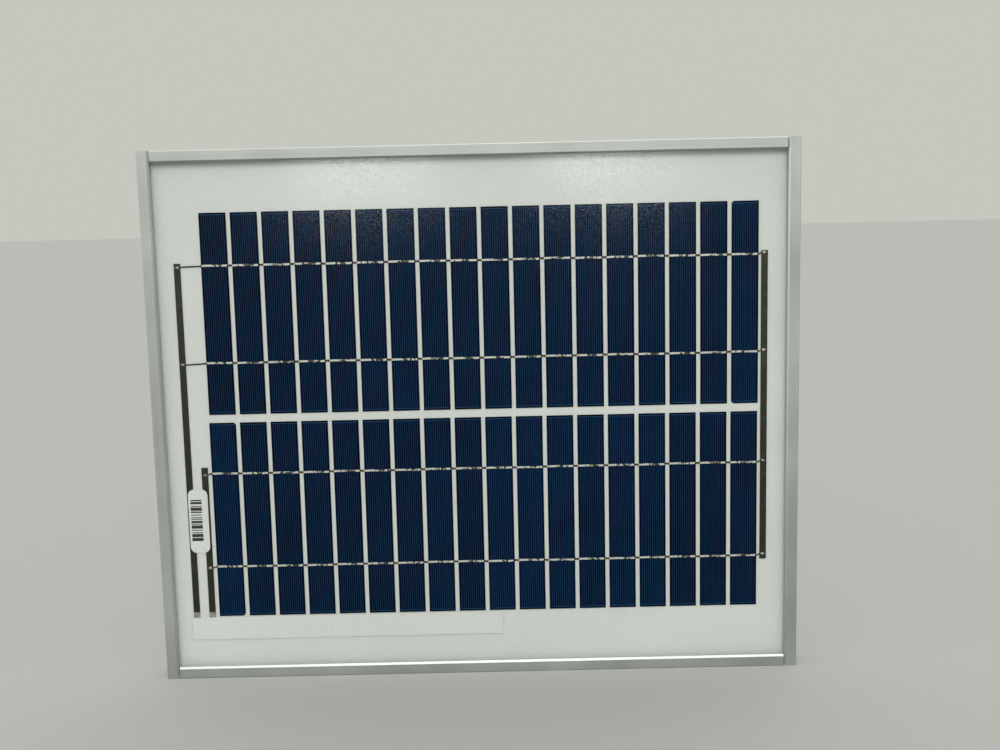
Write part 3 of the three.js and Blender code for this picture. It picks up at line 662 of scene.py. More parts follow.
def ribbon_with_painted_light(name, row):
    """Tabbing ribbon: a painted highlight where it lies on a cell near the cell's sides, mottled by
    solder flow between them, and painted shade where it dips through the gap to the next cell."""
    material, nodes, links = new_material(name)
    place = nodes.new("ShaderNodeTexCoord")
    axes = nodes.new("ShaderNodeSeparateXYZ")
    links.new(place.outputs["Object"], axes.inputs["Vector"])
    from_first = nodes.new("ShaderNodeMath")
    from_first.operation = "SUBTRACT"
    from_first.inputs[1].default_value = row["low"].x - cell_pitch
    links.new(axes.outputs["X"], from_first.inputs[0])
    in_pitches = nodes.new("ShaderNodeMath")
    in_pitches.operation = "DIVIDE"
    in_pitches.inputs[1].default_value = cell_pitch
    links.new(from_first.outputs["Value"], in_pitches.inputs[0])
    across = nodes.new("ShaderNodeMath")
    across.operation = "FRACT"
    links.new(in_pitches.outputs["Value"], across.inputs[0])
    # Painted highlight where the ribbon lies on a cell near its sides, painted shade where it dips through
    # the gap, and a mottle of solder between.
    painted_light_across = nodes.new("ShaderNodeValToRGB")
    painted_light_across.color_ramp.elements[0].color = (0.66, 0.66, 0.66, 1)
    painted_light_across.color_ramp.elements[1].color = (0.2, 0.2, 0.2, 1)
    across_and_painted_light = ((0.25, 0.62), (0.34, 0.49), (0.64, 0.45), (0.71, 0.60), (0.82, 0.64), (0.87, 0.2))
    for share, amount in across_and_painted_light:
        stop = painted_light_across.color_ramp.elements.new(share)
        stop.color = (amount, amount, amount, 1)
    links.new(across.outputs["Value"], painted_light_across.inputs["Fac"])
    flow = nodes.new("ShaderNodeTexNoise")
    flow.inputs["Scale"].default_value = 430
    flow.inputs["Detail"].default_value = 3
    flow.inputs["Distortion"].default_value = 0.5
    links.new(place.outputs["Object"], flow.inputs["Vector"])
    painted_light_and_flow = nodes.new("ShaderNodeMath")
    painted_light_and_flow.operation = "ADD"
    links.new(painted_light_across.outputs["Color"], painted_light_and_flow.inputs[0])
    links.new(flow.outputs["Fac"], painted_light_and_flow.inputs[1])
    edge = nodes.new("ShaderNodeMapRange")
    edge.inputs["From Min"].default_value = 0.96
    edge.inputs["From Max"].default_value = 1.04
    links.new(painted_light_and_flow.outputs["Value"], edge.inputs["Value"])
    # Dark is painted shade in the gaps and part of the solder mottle; bright is a painted highlight.
    tone = nodes.new("ShaderNodeMixRGB")
    tone.inputs["Color1"].default_value = (0.045, 0.045, 0.028, 1)
    tone.inputs["Color2"].default_value = (0.66, 0.66, 0.585, 1)
    links.new(edge.outputs["Result"], tone.inputs["Fac"])
    relief = nodes.new("ShaderNodeBump")
    relief.inputs["Strength"].default_value = 0.4
    relief.inputs["Distance"].default_value = 0.05 * MM
    links.new(flow.outputs["Fac"], relief.inputs["Height"])
    sheen = nodes.new("ShaderNodeMapRange")
    sheen.inputs["To Min"].default_value = 0.6
    sheen.inputs["To Max"].default_value = 0.42
    links.new(edge.outputs["Result"], sheen.inputs["Value"])
    metal = nodes.new("ShaderNodeBsdfPrincipled")
    metal.inputs["Metallic"].default_value = 0.3
    links.new(tone.outputs["Color"], metal.inputs["Base Color"])
    links.new(sheen.outputs["Result"], metal.inputs["Roughness"])
    links.new(relief.outputs["Normal"], metal.inputs["Normal"])
    output = nodes.new("ShaderNodeOutputMaterial")
    links.new(metal.outputs["BSDF"], output.inputs["Surface"])
    arrange(nodes, {
        "Across one cell": {"Place on the ribbon": place, "Across and up": axes,
                            "From the first cell": from_first, "In cells": in_pitches,
                            "Across the cell": across},
        "Painted light and solder flow": {"Painted highlight and shade across a cell": painted_light_across, "Flow": flow, "Painted light with solder flow": painted_light_and_flow,
                          "Edge of the painted highlight": edge, "Painted shade and highlight": tone},
        "Surface": {"Depth": relief, "Sheen where it flowed": sheen, "Tinned metal": metal,
                    "Ribbon": output},
    })
    return material


def tinned(name, dull, bright, cover, metallic=0.75):
    """Solder-coated or plated metal, dull with brighter smears."""
    material, nodes, links = new_material(name)
    place = nodes.new("ShaderNodeTexCoord")
    flow = nodes.new("ShaderNodeTexNoise")
    flow.inputs["Scale"].default_value = 150
    flow.inputs["Detail"].default_value = 5
    flow.inputs["Distortion"].default_value = 0.6
    links.new(place.outputs["Object"], flow.inputs["Vector"])
    smear = nodes.new("ShaderNodeValToRGB")
    smear.color_ramp.elements[0].position = cover - 0.07
    smear.color_ramp.elements[0].color = (*dull, 1)
    smear.color_ramp.elements[1].position = cover + 0.07
    smear.color_ramp.elements[1].color = (*bright, 1)
    links.new(flow.outputs["Fac"], smear.inputs["Fac"])
    pits = nodes.new("ShaderNodeTexNoise")
    pits.inputs["Scale"].default_value = 1500
    links.new(place.outputs["Object"], pits.inputs["Vector"])
    height = nodes.new("ShaderNodeMath")
    height.operation = "ADD"
    links.new(flow.outputs["Fac"], height.inputs[0])
    links.new(pits.outputs["Fac"], height.inputs[1])
    relief = nodes.new("ShaderNodeBump")
    relief.inputs["Strength"].default_value = 0.4
    relief.inputs["Distance"].default_value = 0.05 * MM
    links.new(height.outputs["Value"], relief.inputs["Height"])
    sheen = nodes.new("ShaderNodeMapRange")
    sheen.inputs["To Min"].default_value = 0.55
    sheen.inputs["To Max"].default_value = 0.3
    links.new(flow.outputs["Fac"], sheen.inputs["Value"])
    metal = nodes.new("ShaderNodeBsdfPrincipled")
    metal.inputs["Metallic"].default_value = metallic
    links.new(smear.outputs["Color"], metal.inputs["Base Color"])
    links.new(sheen.outputs["Result"], metal.inputs["Roughness"])
    links.new(relief.outputs["Normal"], metal.inputs["Normal"])
    output = nodes.new("ShaderNodeOutputMaterial")
    links.new(metal.outputs["BSDF"], output.inputs["Surface"])
    arrange(nodes, {
        "Metal flow": {"Place on the metal": place, "Flow": flow, "Dull and bright": smear},
        "Relief": {"Fine pits": pits, "Flow and pits": height, "Depth": relief},
        "Surface": {"Sheen where it flowed": sheen, "Tinned metal": metal, "Metal": output},
    })
    return material


def moulded(name, tone, rough, grain_depth, grain_scale=2600):
    """Moulded plastic or rubber with a fine spark-eroded grain, and a thin uneven dust."""
    material, nodes, links = new_material(name)
    place = nodes.new("ShaderNodeTexCoord")
    grain = nodes.new("ShaderNodeTexNoise")
    grain.inputs["Scale"].default_value = grain_scale
    grain.inputs["Detail"].default_value = 2
    links.new(place.outputs["Object"], grain.inputs["Vector"])
    grain_height = nodes.new("ShaderNodeBump")
    grain_height.inputs["Strength"].default_value = grain_depth
    grain_height.inputs["Distance"].default_value = 0.04 * MM
    links.new(grain.outputs["Fac"], grain_height.inputs["Height"])
    dust = nodes.new("ShaderNodeTexNoise")
    dust.inputs["Scale"].default_value = 150
    dust.inputs["Detail"].default_value = 9
    dust.inputs["Roughness"].default_value = 0.68
    links.new(place.outputs["Object"], dust.inputs["Vector"])
    dust_tone = nodes.new("ShaderNodeValToRGB")
    dust_tone.color_ramp.elements[0].position = 0.38
    dust_tone.color_ramp.elements[0].color = (*tone, 1)
    dust_tone.color_ramp.elements[1].position = 0.85
    dust_tone.color_ramp.elements[1].color = (*[c * 0.9 + 0.02 for c in tone], 1)
    links.new(dust.outputs["Fac"], dust_tone.inputs["Fac"])
    polish = nodes.new("ShaderNodeMapRange")
    polish.inputs["To Min"].default_value = rough - 0.1
    polish.inputs["To Max"].default_value = rough + 0.14
    links.new(dust.outputs["Fac"], polish.inputs["Value"])
    plastic = nodes.new("ShaderNodeBsdfPrincipled")
    plastic.inputs["Specular IOR Level"].default_value = 0.45
    links.new(dust_tone.outputs["Color"], plastic.inputs["Base Color"])
    links.new(polish.outputs["Result"], plastic.inputs["Roughness"])
    links.new(grain_height.outputs["Normal"], plastic.inputs["Normal"])
    output = nodes.new("ShaderNodeOutputMaterial")
    links.new(plastic.outputs["BSDF"], output.inputs["Surface"])
    arrange(nodes, {
        "Grain": {"Place on the moulding": place, "Spark grain": grain, "Grain depth": grain_height},
        "Dust": {"Dust spread": dust, "Clean and dusty": dust_tone},
        "Surface": {"Polish": polish, "Plastic": plastic, "Moulding": output},
    })
    return material


aluminium_across = anodised("anodised_aluminium_across", "X")
aluminium_up = anodised("anodised_aluminium_up", "Z")
glass_material = rolled_glass()
backsheet_white = matte_sheet("backsheet_white", (0.64, 0.663, 0.640), weave_depth=0.04)
strip_white = matte_sheet("strip_white", (0.645, 0.668, 0.645), weave_depth=0.04)
label_white = matte_sheet("label_white", (0.66, 0.68, 0.665), weave_depth=0.05)
tab_tin = {name: ribbon_with_painted_light(f"tab_tin_{name}", row) for name, row in rows.items()}
bus_tin = tinned("bus_tin", (0.060, 0.062, 0.038), (0.088, 0.088, 0.060), cover=0.6)
foot_tin = tinned("foot_tin", (0.24, 0.245, 0.21), (0.36, 0.36, 0.32), cover=0.5, metallic=0.3)
bright_tin = tinned("bright_tin", (0.33, 0.33, 0.30), (0.72, 0.72, 0.70), cover=0.5)
zinc = tinned("zinc_plate", (0.46, 0.46, 0.44), (0.66, 0.66, 0.65), cover=0.5, metallic=1.0)
box_black = moulded("box_black", (0.013, 0.013, 0.014), rough=0.52, grain_depth=0.35)
rubber_black = moulded("rubber_black", (0.016, 0.016, 0.017), rough=0.75, grain_depth=0.2, grain_scale=1200)
terminal_cream = moulded("terminal_cream", (0.62, 0.57, 0.45), rough=0.45, grain_depth=0.15)
diode_black = moulded("diode_black", (0.011, 0.011, 0.012), rough=0.35, grain_depth=0.1)
ink_black = moulded("ink_black", (0.02, 0.02, 0.022), rough=0.6, grain_depth=0.05)
sealant_white = moulded("sealant_white", (0.62, 0.63, 0.60), rough=0.42, grain_depth=0.1, grain_scale=700)
cells_upper_material = silicon("cells_upper", rows["upper"], seed=3306)
cells_lower_material = silicon("cells_lower", rows["lower"], seed=437)


# ------------------------------------------------------------------ CAD nodes that keep their shape

def finish_node(node, material):
    """Gives a CAD node its material through its object, and leaves its mesh alone."""
    piece = nodes_of_cad[node]
    for index in range(len(piece.material_slots)):
        piece.material_slots[index].link = "OBJECT"
        piece.material_slots[index].material = material


finish_node("backsheet", backsheet_white)
finish_node("insulation_strip", strip_white)
finish_node("serial_label", label_white)
finish_node("edge_gasket", rubber_black)
finish_node("lid_seal", rubber_black)
for bus in ("bus_left_outer", "bus_left_inner", "bus_right"):
    finish_node(bus, bus_tin)
for number in range(1, cells_in_row + 1):
    finish_node(f"cell_upper_{number:02d}", cells_upper_material)
    finish_node(f"cell_lower_{number:02d}", cells_lower_material)


# ------------------------------------------------------------------ glass and films

# The glass and the films bonded to it are one clear body to the eye. It stops just short of
# the white sheet behind it.
SHORT_OF_SHEET = 0.05 * MM
clear_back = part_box("rear_encapsulant")[1].y - SHORT_OF_SHEET
clear_body = cube_between(glass_low, (glass_high.x, clear_back, glass_high.z))
use_modifier(clear_body, "BEVEL", width=0.4 * MM, segments=1, limit_method="ANGLE",
             angle_limit=math.radians(40))
settle(clear_body, "glass_with_films", "panel", glass_material)
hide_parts("glass", "front_encapsulant", "rear_encapsulant")


# ------------------------------------------------------------------ rails and screws

RAIL_EDGE = 0.18                     # mm
for rail in ("left_rail", "right_rail"):
    softened(rail, f"{rail}_finish", aluminium_up, RAIL_EDGE)
for rail in ("bottom_rail", "top_rail"):
    softened(rail, f"{rail}_finish", aluminium_across, RAIL_EDGE)


def corner_screw(node):
    """Rounds the screw's head and cuts its cross recess."""
    piece = merged_copy(node)
    low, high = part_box(node)
    side = 1 if low.x > 0 else -1
    axis_y, axis_z = (low.y + high.y) / 2, (low.z + high.z) / 2
    head_face = high.x if side > 0 else low.x
    deep, half_long, half_wide = 1.3 * MM, 2.1 * MM, 0.45 * MM
    for turn in (0, 1):
        arm = cube_between((-deep, -half_long, -half_wide), (deep, half_long, half_wide))
        arm.rotation_euler = (turn * math.pi / 2, 0, 0)
        arm.location = (head_face, axis_y, axis_z)
        carve(piece, arm)
    round_edges(piece, 0.12)
    settle(piece, f"{node}_finish", "panel", zinc)
    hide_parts(node)


for corner in ("bottom_left", "top_left", "bottom_right", "top_right"):
    corner_screw(f"screw_{corner}")


# ------------------------------------------------------------------ tabbing ribbons

RIBBON_OFF_CELL = 0.09 * MM          # from a cell's face to the middle of the ribbon on it
HAND_ERROR = 0.22                    # mm that a hand-laid ribbon may stand off its line
FIRST_TAIL = 0.8 * MM                # what is left of a row's first ribbon before its cell
RIPPLE_POINTS = 6


def folded_ribbon(path, width, thickness=TAB_THICKNESS, along="X"):
    """A flat ribbon drawn out from a stub at the path's start, fold by fold."""
    start = Vector(path[0])
    stub = 0.1 * MM
    deselect()
    bpy.ops.mesh.primitive_plane_add(size=1, location=start, rotation=(math.pi / 2, 0, 0))
    ribbon = bpy.context.object
    ribbon.scale = (stub, width, 1) if along == "X" else (width, stub, 1)
    bpy.ops.object.transform_apply(location=True, rotation=True, scale=True)
    axis = "XYZ".index(along)
    pick(ribbon, lambda place: place[axis] > start[axis])
    for here, following in zip(path, path[1:]):
        step = Vector(following) - Vector(here)
        bpy.ops.mesh.extrude_region_move(TRANSFORM_OT_translate={"value": step})
    bpy.ops.object.mode_set(mode="OBJECT")
    use_modifier(ribbon, "SOLIDIFY", thickness=thickness, offset=0, use_even_offset=True)
    outward(ribbon)
    return ribbon


ribbon_front = cell_front - RIBBON_OFF_CELL
ribbon_back = cell_back + RIBBON_OFF_CELL
cell_gap = cell_pitch - cell_width


def cell_ribbon():
    """One ribbon of the first upper cell: from behind the cell before it, up through the gap,
    and along the front."""
    left = rows["upper"]["low"].x
    tuck, clear, margin = 3.5 * MM, 0.3 * MM, 0.6 * MM
    path = [
        (left - cell_gap - tuck, ribbon_back, 0), (left - cell_gap + clear, ribbon_back, 0),
        (left - margin, ribbon_front, 0), (left + clear, ribbon_front, 0),
    ]
    for step in range(1, RIPPLE_POINTS + 1):
        share = step / (RIPPLE_POINTS + 1)
        ripple = 0.03 * MM * math.sin(9 * share)
        wander = 0.12 * MM * math.sin(5 * share)
        path.append((left + share * cell_width, ribbon_front + ripple, wander))
    path.append((left + cell_width - margin, ribbon_front, 0))
    return folded_ribbon(path, TAB_WIDTH)


random.seed(20)
tab_heights = {
    name: [row["high"].z - TAB_FROM_CELL_END, row["low"].z + TAB_FROM_CELL_END]
    for name, row in rows.items()
}
pattern = cell_ribbon()
for row_name, heights in tab_heights.items():
    row_left = rows[row_name]["low"].x
    for line_number, height in enumerate(heights, 1):
        ribbons = []
        for number in range(cells_in_row):
            shift = row_left - rows["upper"]["low"].x + number * cell_pitch
            off_line = random.uniform(-HAND_ERROR, HAND_ERROR) * MM
            ribbons.append(copy_to(pattern, (shift, 0, height + off_line)))
        only(ribbons[0])
        bpy.ops.object.transform_apply(location=True, rotation=False, scale=False)
        bpy.ops.object.mode_set(mode="EDIT")
        bpy.ops.mesh.select_all(action="SELECT")
        bpy.ops.mesh.bisect(plane_co=(row_left - FIRST_TAIL, 0, 0), plane_no=(1, 0, 0),
                            use_fill=True, clear_inner=True)
        bpy.ops.object.mode_set(mode="OBJECT")
        tab_line = joined(ribbons)
        settle(tab_line, f"tab_line_{row_name}_{line_number}", "panel", tab_tin[row_name])
bpy.data.objects.remove(pattern)

# End tabs run from the first and last cells to the wide ribbons.
left_ribbon = {"upper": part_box("bus_left_outer"), "lower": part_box("bus_left_inner")}
right_low, right_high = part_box("bus_right")
bus_width = right_high.x - right_low.x


def left_end_tab(name, row_name, height):
    """From the left wide ribbon to the front of the first cell, hanging down to the left."""
    onto_bus, before_cell, onto_cell = 0.6 * MM, 1.2 * MM, 0.6 * MM
    bus_left = left_ribbon[row_name][0].x
    first = rows[row_name]["low"].x
    fall = random.uniform(0.5, 1.1) * MM
    tab = folded_ribbon([
        (bus_left + onto_bus, ribbon_front, height - fall),
        (bus_left + bus_width, ribbon_front, height - fall * 0.9),
        (first - before_cell, ribbon_front, height - fall * 0.1),
        (first + onto_cell, ribbon_front, height),
    ], TAB_WIDTH * 0.7)
    settle(tab, name, "panel", bus_tin)


def right_end_tab(name, row_name, height):
    """From behind the last cell, forward past its edge, and over to the right wide ribbon."""
    behind_cell, past_cell, forward_by = 3 * MM, 0.2 * MM, 1 * MM
    before_bus, short_of_edge = 0.5 * MM, 1.2 * MM
    climb_to_bus, climb_to_end = 0.9 * MM, 1.1 * MM
    last = rows[row_name]["high"].x
    tab = folded_ribbon([
        (last - behind_cell, ribbon_back, height), (last + past_cell, ribbon_back, height),
        (last + forward_by, ribbon_front, height),
        (right_low.x - before_bus, ribbon_front, height + climb_to_bus),
        (right_high.x - short_of_edge, ribbon_front, height + climb_to_end),
    ], TAB_WIDTH * 0.8)
    settle(tab, name, "panel", bus_tin)


for row_name, heights in tab_heights.items():
    for line_number, height in enumerate(heights, 1):
        left_end_tab(f"end_tab_left_{row_name}_{line_number}", row_name, height)
        right_end_tab(f"end_tab_right_{row_name}_{line_number}", row_name, height)

# Where each left ribbon meets its lead, a short plate of solder shows above the white strip.
strip_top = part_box("insulation_strip")[1].z
FOOT_BELOW = 1 * MM                  # below and above the strip's top edge
FOOT_ABOVE = 4.4 * MM
FOOT_PROUD = 0.06 * MM               # in front of and behind the cells' front
FOOT_SUNK = 0.05 * MM
for side, node in (("outer", "bus_left_outer"), ("inner", "bus_left_inner")):
    foot_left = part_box(node)[0].x
    foot = cube_between(
        (foot_left, cell_front - FOOT_PROUD, strip_top - FOOT_BELOW),
        (foot_left + bus_width, cell_front + FOOT_SUNK, strip_top + FOOT_ABOVE),
    )
    round_edges(foot, 0.04)
    settle(foot, f"lead_foot_{side}", "panel", foot_tin)


# ------------------------------------------------------------------ solder on the wide ribbons

SPOT_LENGTH = 3.4 * MM
SPOT_WIDTH = 1.9 * MM
SPOT_HALF_THICKNESS = 0.16 * MM
SPOT_PROUD = 0.05 * MM
LEFT_FALL = 0.8 * MM                 # about how far the end tabs have left their line there
RIGHT_CLIMB = 1.0 * MM


def solder_spot(name, centre, length, width):
    """A flattened drop with an uneven outline, which differs with the drop's place."""
    deselect()
    bpy.ops.mesh.primitive_uv_sphere_add(segments=20, ring_count=10, radius=1, location=centre)
    spot = bpy.context.object
    spot.scale = (length / 2, SPOT_HALF_THICKNESS, width / 2)
    bpy.ops.object.transform_apply(location=False, rotation=False, scale=True)
    use_modifier(spot, "SUBSURF", levels=1, render_levels=1)
    for vertex in spot.data.vertices:
        angle = math.atan2(vertex.co.z, vertex.co.x)
        three_lobes = 0.13 * math.sin(3 * angle + centre[0] * 900)
        five_lobes = 0.08 * math.sin(5 * angle + centre[2] * 700)
        swell = 1 + three_lobes + five_lobes
        vertex.co.x *= swell
        vertex.co.z *= swell
    smooth_edges(spot, 80)
    settle(spot, name, "panel", bright_tin)


for row_name, heights in tab_heights.items():
    for line_number, height in enumerate(heights, 1):
        bus_left = left_ribbon[row_name][0].x
        left_centre = (bus_left + bus_width * 0.55, cell_front - SPOT_PROUD, height - LEFT_FALL)
        right_centre = (right_low.x + bus_width * 0.45, cell_front - SPOT_PROUD, height + RIGHT_CLIMB)
        solder_spot(f"solder_left_{row_name}_{line_number}", left_centre, SPOT_LENGTH, SPOT_WIDTH)
        solder_spot(f"solder_right_{row_name}_{line_number}", right_centre, SPOT_LENGTH, SPOT_WIDTH)


# ------------------------------------------------------------------ label bars

label_low, label_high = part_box("serial_label")
BAR_LEFT = 1.6 * MM                  # bars start this far in from the label's left edge
BAR_LENGTH = 8.8 * MM
BAR_RUN = 34 * MM
BAR_TOP_MARGIN = 8.3 * MM
BAR_PROUD = 0.02 * MM
BAR_SUNK = 0.01 * MM
bars_left = label_low.x + BAR_LEFT
bars_top = label_high.z - BAR_TOP_MARGIN
random.seed(7)
bars = []
along = 0.0
while along < BAR_RUN:
    bar_width = random.choice((0.7, 0.7, 1.1, 1.8, 2.6)) * MM
    space = random.choice((0.6, 0.9, 1.4)) * MM
    top = bars_top - along
    if top - bar_width < bars_top - BAR_RUN:
        break
    bars.append(cube_between(
        (bars_left, label_low.y - BAR_PROUD, top - bar_width),
        (bars_left + BAR_LENGTH, label_low.y + BAR_SUNK, top),
    ))
    along += bar_width + space
label_bars = joined(bars)
use_modifier(label_bars, "BEVEL", width=0.005 * MM, segments=1)
settle(label_bars, "label_bars", "panel", ink_black)


# ------------------------------------------------------------------ junction box

softened("junction_box_base", "junction_box_finish", box_black, edge=0.35)
softened("junction_box_lid", "lid_finish", box_black, edge=0.3, body="lid")
softened("terminal_block", "terminal_block_finish", terminal_cream, edge=0.25)
softened("bypass_diode", "bypass_diode_finish", diode_black, edge=0.15)
softened("cable_gland", "cable_gland_finish", box_black, edge=0.25)


def bead_loop(name, low, high, corner, radius, back):
    """A hand-laid bead of sealant round a rectangle: a ring pulled out to its four corners, its
    long sides divided, and all of it made uneven."""
    turns, cuts = 48, 60
    longer_than_a_corner = 10 * MM
    middle = ((low[0] + high[0]) / 2, back, (low[1] + high[1]) / 2)
    reach = ((high[0] - low[0]) / 2 - corner, 0, (high[1] - low[1]) / 2 - corner)
    deselect()
    bpy.ops.mesh.primitive_torus_add(
        major_segments=turns, minor_segments=10, major_radius=corner, minor_radius=radius,
        location=middle, rotation=(math.pi / 2, math.pi / turns, 0),
    )
    bead = bpy.context.object
    bpy.ops.object.transform_apply(location=True, rotation=True, scale=False)
    for axis in (0, 2):
        for side in (-1, 1):
            pick(bead, lambda place: (place[axis] - middle[axis]) * side > 0)
            move = [0, 0, 0]
            move[axis] = side * reach[axis]
            bpy.ops.transform.translate(value=move)
            bpy.ops.object.mode_set(mode="OBJECT")
    only(bead)
    bpy.ops.object.mode_set(mode="EDIT")
    bpy.ops.mesh.select_mode(type="EDGE")
    bpy.ops.mesh.select_all(action="DESELECT")
    bpy.ops.object.mode_set(mode="OBJECT")
    for edge in bead.data.edges:
        start, end = (bead.data.vertices[index].co for index in edge.vertices)
        edge.select = (start - end).length > longer_than_a_corner
    bpy.ops.object.mode_set(mode="EDIT")
    bpy.ops.mesh.subdivide(number_cuts=cuts)
    bpy.ops.object.mode_set(mode="OBJECT")
    unevenness = bpy.data.textures.new(f"{name}_unevenness", "CLOUDS")
    unevenness.noise_scale = 5 * MM
    use_modifier(bead, "DISPLACE", texture=unevenness, texture_coords="LOCAL",
                 strength=radius * 0.35, mid_level=0.5)
    outward(bead)
    smooth_edges(bead, 80)
    settle(bead, name, "panel", sealant_white)


# One bead goes round the box's body, below its hinge ears, and one inside the four rails.
BOX_BEAD_OUT = 0.2 * MM
BOX_BEAD_TOP = 64.2 * MM             # over the foot of the box, whose body is 64 mm high
BOX_BEAD_CORNER, BOX_BEAD_RADIUS, BOX_BEAD_BACK = 4.2 * MM, 1.2 * MM, 1.35 * MM
bead_loop("box_sealant_bead", (box_low.x - BOX_BEAD_OUT, box_low.z - BOX_BEAD_OUT),
          (box_high.x + BOX_BEAD_OUT, box_low.z + BOX_BEAD_TOP),
          BOX_BEAD_CORNER, BOX_BEAD_RADIUS, sheet_back + BOX_BEAD_BACK)

rail_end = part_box("bottom_rail")[0].x
RAIL_BEAD_SIDE = 0.1 * MM            # in from the ends of the bottom and top rails
RAIL_BEAD_IN = 9.4 * MM              # in from the panel's foot and top
RAIL_BEAD_CORNER, RAIL_BEAD_RADIUS, RAIL_BEAD_BACK = 1.6 * MM, 0.8 * MM, 0.95 * MM
bead_loop("rail_sealant_bead", (rail_end + RAIL_BEAD_SIDE, RAIL_BEAD_IN),
          (-rail_end - RAIL_BEAD_SIDE, cad_high.z - RAIL_BEAD_IN),
          RAIL_BEAD_CORNER, RAIL_BEAD_RADIUS, sheet_back + RAIL_BEAD_BACK)

# Raised panel on the lid, with a dished middle, and grip ribs on its thumb tab.
lid_face = lid_high.y
SUNK_IN_LID = 0.1 * MM
PANEL_SIDE = 7 * MM                  # from the lid's sides
PANEL_FOOT, PANEL_HEAD = 8 * MM, 56 * MM
PANEL_PROUD, PANEL_RIM, PANEL_DISH = 0.7 * MM, 2.2 * MM, 0.35 * MM
lid_panel = cube_between((lid_low.x + PANEL_SIDE, lid_face - SUNK_IN_LID, box_low.z + PANEL_FOOT),
                         (lid_high.x - PANEL_SIDE, lid_face + PANEL_PROUD, box_low.z + PANEL_HEAD))
pick(lid_panel, lambda place: place.y > lid_face)
bpy.ops.mesh.inset(thickness=PANEL_RIM)
bpy.ops.transform.translate(value=(0, -PANEL_DISH, 0))
bpy.ops.object.mode_set(mode="OBJECT")
round_edges(lid_panel, 0.3, segments=3, angle=20)
settle(lid_panel, "lid_raised_panel", "lid", box_black)

GRIP_HALF_LENGTH, GRIP_HALF_WIDTH, GRIP_PROUD = 7.5 * MM, 0.35 * MM, 0.5 * MM
GRIP_COUNT = 4
GRIP_FIRST, GRIP_PITCH = 1, 1.7      # mm up from the tab's foot, and from rib to rib
grip = cube_between((-GRIP_HALF_LENGTH, lid_face - SUNK_IN_LID, -GRIP_HALF_WIDTH),
                    (GRIP_HALF_LENGTH, lid_face + GRIP_PROUD, GRIP_HALF_WIDTH))
round_edges(grip, 0.25, segments=3)
grips = [
    copy_to(grip, (0, 0, lid_low.z + (GRIP_FIRST + GRIP_PITCH * number) * MM))
    for number in range(GRIP_COUNT)
]
bpy.data.objects.remove(grip)
settle(joined(grips), "lid_grip_ribs", "lid", box_black)

# Terminal clamps: a cage with a wire opening below, and a slotted screw.
block_low, block_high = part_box("terminal_block")
BAY_DEEP = 2 * MM                    # from the block's front to the floor of a clamp's bay
CAGE_HALF_WIDTH, CAGE_WALL, WIRE_OPENING = 4.6 * MM, 0.7 * MM, 6 * MM
CAGE_FOOT, CAGE_HEAD = 0.6 * MM, 3.6 * MM    # in from the block's foot and top
CAGE_FRONT, CAGE_BACK = 0.1 * MM, 3.1 * MM   # from the floor of the bay, as are the next three
SCREW_FRONT, SLOT_FLOOR, SLOT_PAST = 2.9 * MM, 3.5 * MM, 5 * MM
SCREW_UP = 3.4 * MM                  # up from the block's foot
SCREW_RADIUS, SCREW_HEIGHT = 2.1 * MM, 1.1 * MM
SLOT_HALF_LENGTH, SLOT_HALF_WIDTH = 2.6 * MM, 0.35 * MM
bay_floor = block_low.y + BAY_DEEP
cage_bottom = block_low.z + CAGE_FOOT
cage = cube_between((-CAGE_HALF_WIDTH, bay_floor + CAGE_FRONT, cage_bottom),
                    (CAGE_HALF_WIDTH, bay_floor + CAGE_BACK, block_high.z - CAGE_HEAD))
pick(cage, lambda place: place.z < cage_bottom + 0.1 * MM)
bpy.ops.mesh.inset(thickness=CAGE_WALL)
bpy.ops.mesh.extrude_region_move(TRANSFORM_OT_translate={"value": (0, 0, WIRE_OPENING)})
bpy.ops.object.mode_set(mode="OBJECT")
round_edges(cage, 0.2)
screw_z = block_low.z + SCREW_UP
clamp_screw = cylinder_along("Y", SCREW_RADIUS, (0, bay_floor + SCREW_FRONT, screw_z), SCREW_HEIGHT)
slot_cut = cube_between((-SLOT_HALF_LENGTH, bay_floor + SLOT_FLOOR, screw_z - SLOT_HALF_WIDTH),
                        (SLOT_HALF_LENGTH, bay_floor + SLOT_PAST, screw_z + SLOT_HALF_WIDTH))
carve(clamp_screw, slot_cut)
round_edges(clamp_screw, 0.12)
clamp = joined([cage, clamp_screw])
clamp_across = (-16, 0, 16)          # mm
for number, x in enumerate(clamp_across, 1):
    settle(copy_to(clamp, (x * MM, 0, 0)), f"terminal_clamp_{number}", "panel", zinc)
bpy.data.objects.remove(clamp)

